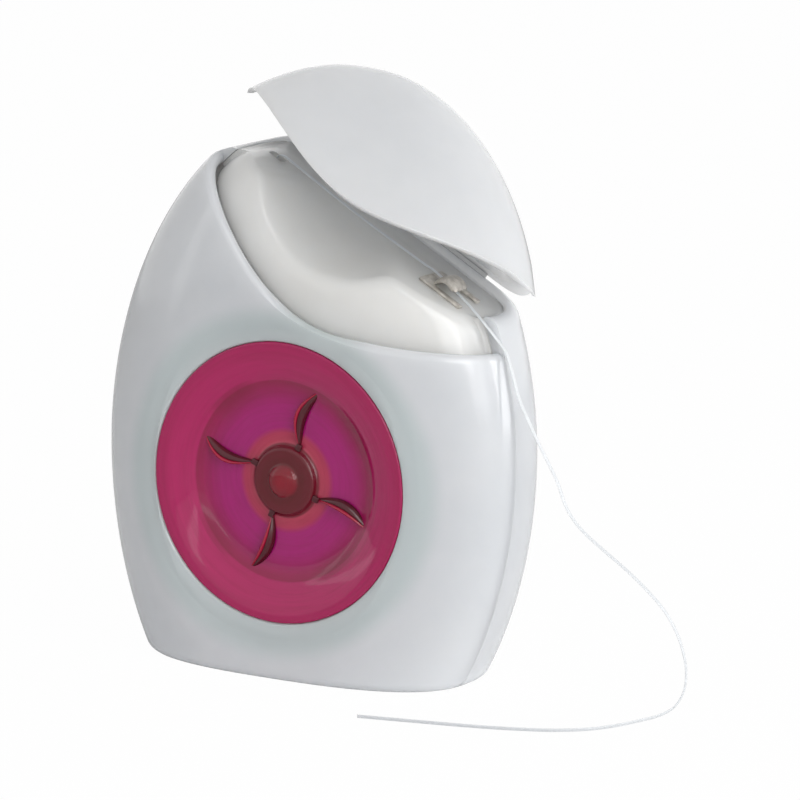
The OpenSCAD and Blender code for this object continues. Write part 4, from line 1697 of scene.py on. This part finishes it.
@dataclass
class Studio:
    """Floor, lamps, world and the camera at the photograph's angle."""

    azimuth: float = 29.7
    elevation: float = 10.74
    roll: float = 1.43
    distance: float = 800.0
    target: Point = (0.0, 0.0, 36.0)
    pixels_per_mm: float = 7.892
    image: int = 800
    middle_px: tuple[float, float] = (323.41, 384.8)
    sensor: float = 36.0
    floor_glow: float = 0.98
    world_light: float = 0.4
    lamps: tuple[Lamp, ...] = (
        Lamp("high_right", (0.5, -0.35, 0.65), (0.5, 0.5), 1.25),
        Lamp("key", (0.62, -0.25, 0.32), (0.35, 0.6), 0.9),
        Lamp("side", (0.6, 0.25, 0.2), (0.3, 0.4), 1.1),
        Lamp("low_front", (0.56, -0.5, 0.3), (0.45, 0.35), 1.15),
        Lamp("front_strip", (0.1, -0.9, 0.16), (0.5, 0.08), 0.12, (0.0, 0.0, 0.055)),
        Lamp("left_strip", (-0.55, -0.35, 0.22), (0.08, 0.5), 0.08),
    )

    def camera(self) -> None:
        """Makes the camera."""
        turn, rise, lean = (math.radians(v) for v in (self.azimuth, self.elevation, self.roll))
        back = Vector((math.sin(turn) * math.cos(rise), -math.cos(turn) * math.cos(rise), math.sin(rise)))
        level = Vector((math.cos(turn), math.sin(turn), 0))
        up = back.cross(level)
        right = level * math.cos(lean) + up * math.sin(lean)
        up = up * math.cos(lean) - level * math.sin(lean)
        data = bpy.data.cameras.new("camera")
        data.sensor_width = self.sensor
        data.lens = self.sensor * self.pixels_per_mm * self.distance / self.image
        data.shift_x = 0.5 - self.middle_px[0] / self.image
        data.shift_y = self.middle_px[1] / self.image - 0.5
        data.clip_end = 10
        camera = bpy.data.objects.new("camera", data)
        bpy.context.scene.collection.objects.link(camera)
        place = (Vector(self.target) + back * self.distance) * MM
        turned = Matrix((right, up, back)).transposed().to_4x4()
        camera.matrix_world = Matrix.Translation(place) @ turned
        bpy.context.scene.camera = camera

    def world(self) -> None:
        """Makes the world: white where it is seen or mirrored, softer where it only lights."""
        world = bpy.data.worlds.new("studio")
        world.use_nodes = True
        tree = world.node_tree
        tree.nodes.clear()
        path = tree.nodes.new("ShaderNodeLightPath")
        most = tree.nodes.new("ShaderNodeMath")
        most.operation = "MAXIMUM"
        tree.links.new(path.outputs["Is Camera Ray"], most.inputs[0])
        clear = tree.nodes.new("ShaderNodeMath")
        clear.operation = "MAXIMUM"
        tree.links.new(path.outputs["Is Glossy Ray"], clear.inputs[0])
        tree.links.new(path.outputs["Is Transmission Ray"], clear.inputs[1])
        tree.links.new(clear.outputs[0], most.inputs[1])
        strength = tree.nodes.new("ShaderNodeMapRange")
        tree.links.new(most.outputs[0], strength.inputs["Value"])
        strength.inputs["To Min"].default_value = self.world_light
        strength.inputs["To Max"].default_value = 1.0
        background = tree.nodes.new("ShaderNodeBackground")
        background.inputs["Color"].default_value = (1, 1, 1, 1)
        tree.links.new(strength.outputs[0], background.inputs["Strength"])
        output = tree.nodes.new("ShaderNodeOutputWorld")
        tree.links.new(background.outputs[0], output.inputs["Surface"])
        bpy.context.scene.world = world

    def floor(self) -> None:
        """Makes the plain pale floor, near white to the camera, with only a trace of the shadow."""
        deselect()
        bpy.ops.mesh.primitive_plane_add(size=3)
        floor = bpy.context.object
        floor.name = "floor"
        floor.location.z = -0.00001
        settle(floor)
        graph = Graph("pale_floor")
        graph.set(Base_Color=(0.93, 0.93, 0.93), Roughness=0.9)
        glow = graph.tree.nodes.new("ShaderNodeEmission")
        glow.inputs["Color"].default_value = (1, 1, 1, 1)
        mixed = graph.tree.nodes.new("ShaderNodeMixShader")
        path = graph.tree.nodes.new("ShaderNodeLightPath")
        share = Socket(graph, path.outputs["Is Camera Ray"]) * self.floor_glow
        graph.tree.links.new(share.link, mixed.inputs[0])
        graph.tree.links.new(graph.shader.outputs[0], mixed.inputs[1])
        graph.tree.links.new(glow.outputs[0], mixed.inputs[2])
        graph.tree.links.new(mixed.outputs[0], graph.output.inputs["Surface"])
        floor.data.materials.append(graph.material)

    def build(self) -> None:
        """Makes the whole studio round the object."""
        self.world()
        self.floor()
        for lamp in self.lamps:
            lamp.make()
        bpy.context.scene.view_settings.view_transform = "Standard"


WHITE = MouldedPlastic("glossy_white", rgb(238, 240, 243), rgb(230, 233, 237), 0.16, 0.5, scatter=0.5)
WHITE_WITH_PAINTED_COVE_SHADE = replace(WHITE, name="glossy_white_with_painted_cove_shade", painted_cove_shade=WINDOW_CENTRE)
LID_WHITE = replace(WHITE, name="glossy_white_lid", scatter=0.95)
NECK = MouldedPlastic("satin_warm_white", rgb(243, 242, 238), rgb(236, 234, 229), 0.2, 0.4, scatter=0.6)
WEB = MouldedPlastic("thin_web", rgb(226, 227, 226), rgb(218, 219, 218), 0.4, 0.1)
CORE = MouldedPlastic("core_plastic", rgb(222, 218, 221), rgb(212, 208, 211), 0.45, 0.0)
STEEL = StampedSteel("stamped_steel", rgb(214, 209, 202), rgb(180, 175, 167), 0.36)
FLOSS = WaxedFloss("waxed_floss", rgb(240, 242, 244), rgb(214, 218, 222))
# Painted light and shade on the vanes: red for their lit sides, maroon for their shaded blades and the
# tabs.
VANE_PAINTED_LIGHT = MouldedPlastic("raspberry_painted_lit_side", rgb(176, 14, 60), rgb(160, 10, 50), 0.1, 0.0)
MAROON_AND_PAINTED_SHADE = MouldedPlastic("maroon_vane_with_painted_shade", rgb(88, 10, 28), rgb(74, 6, 22), 0.15, 0.0)


def main() -> None:
    """Builds every piece in order."""
    logging.basicConfig(level=logging.INFO, format="%(message)s")
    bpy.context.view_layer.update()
    disc = WindowDisc()
    pink = TintedWindow(
        "tinted_window",
        disc.centre,
        (
            (0.0, rgb(160, 10, 40)), (1.9, rgb(140, 10, 34)), (2.2, rgb(104, 10, 22)),
            (4.2, rgb(112, 14, 32)), (4.7, rgb(130, 22, 44)), (4.9, rgb(206, 70, 98)),
            (6.1, rgb(200, 56, 96)), (6.8, rgb(188, 20, 128)), (9.5, rgb(188, 18, 126)),
            (12.0, rgb(172, 14, 90)), (12.8, rgb(164, 12, 80)), (13.0, rgb(196, 26, 106)),
            (15.5, rgb(198, 28, 106)), (18.0, rgb(190, 22, 98)),
        ),
        18.0,
        rgb(130, 12, 52),
    )
    studio = Studio()
    studio.camera()
    floss = FLOSS.make()
    Floss().build(floss)
    studio.build()
    white = WHITE.make()
    Shells().build(white, WHITE_WITH_PAINTED_COVE_SHADE.make())
    Neck().build(NECK.make())
    Lid().build(LID_WHITE.make())
    disc.build(pink.make(), VANE_PAINTED_LIGHT.make(), MAROON_AND_PAINTED_SHADE.make())
    Bobbin().build(CORE.make(), floss)
    HingeWeb().build(WEB.make())
    Cutter().build(STEEL.make())


if __name__ == "__main__":
    main()
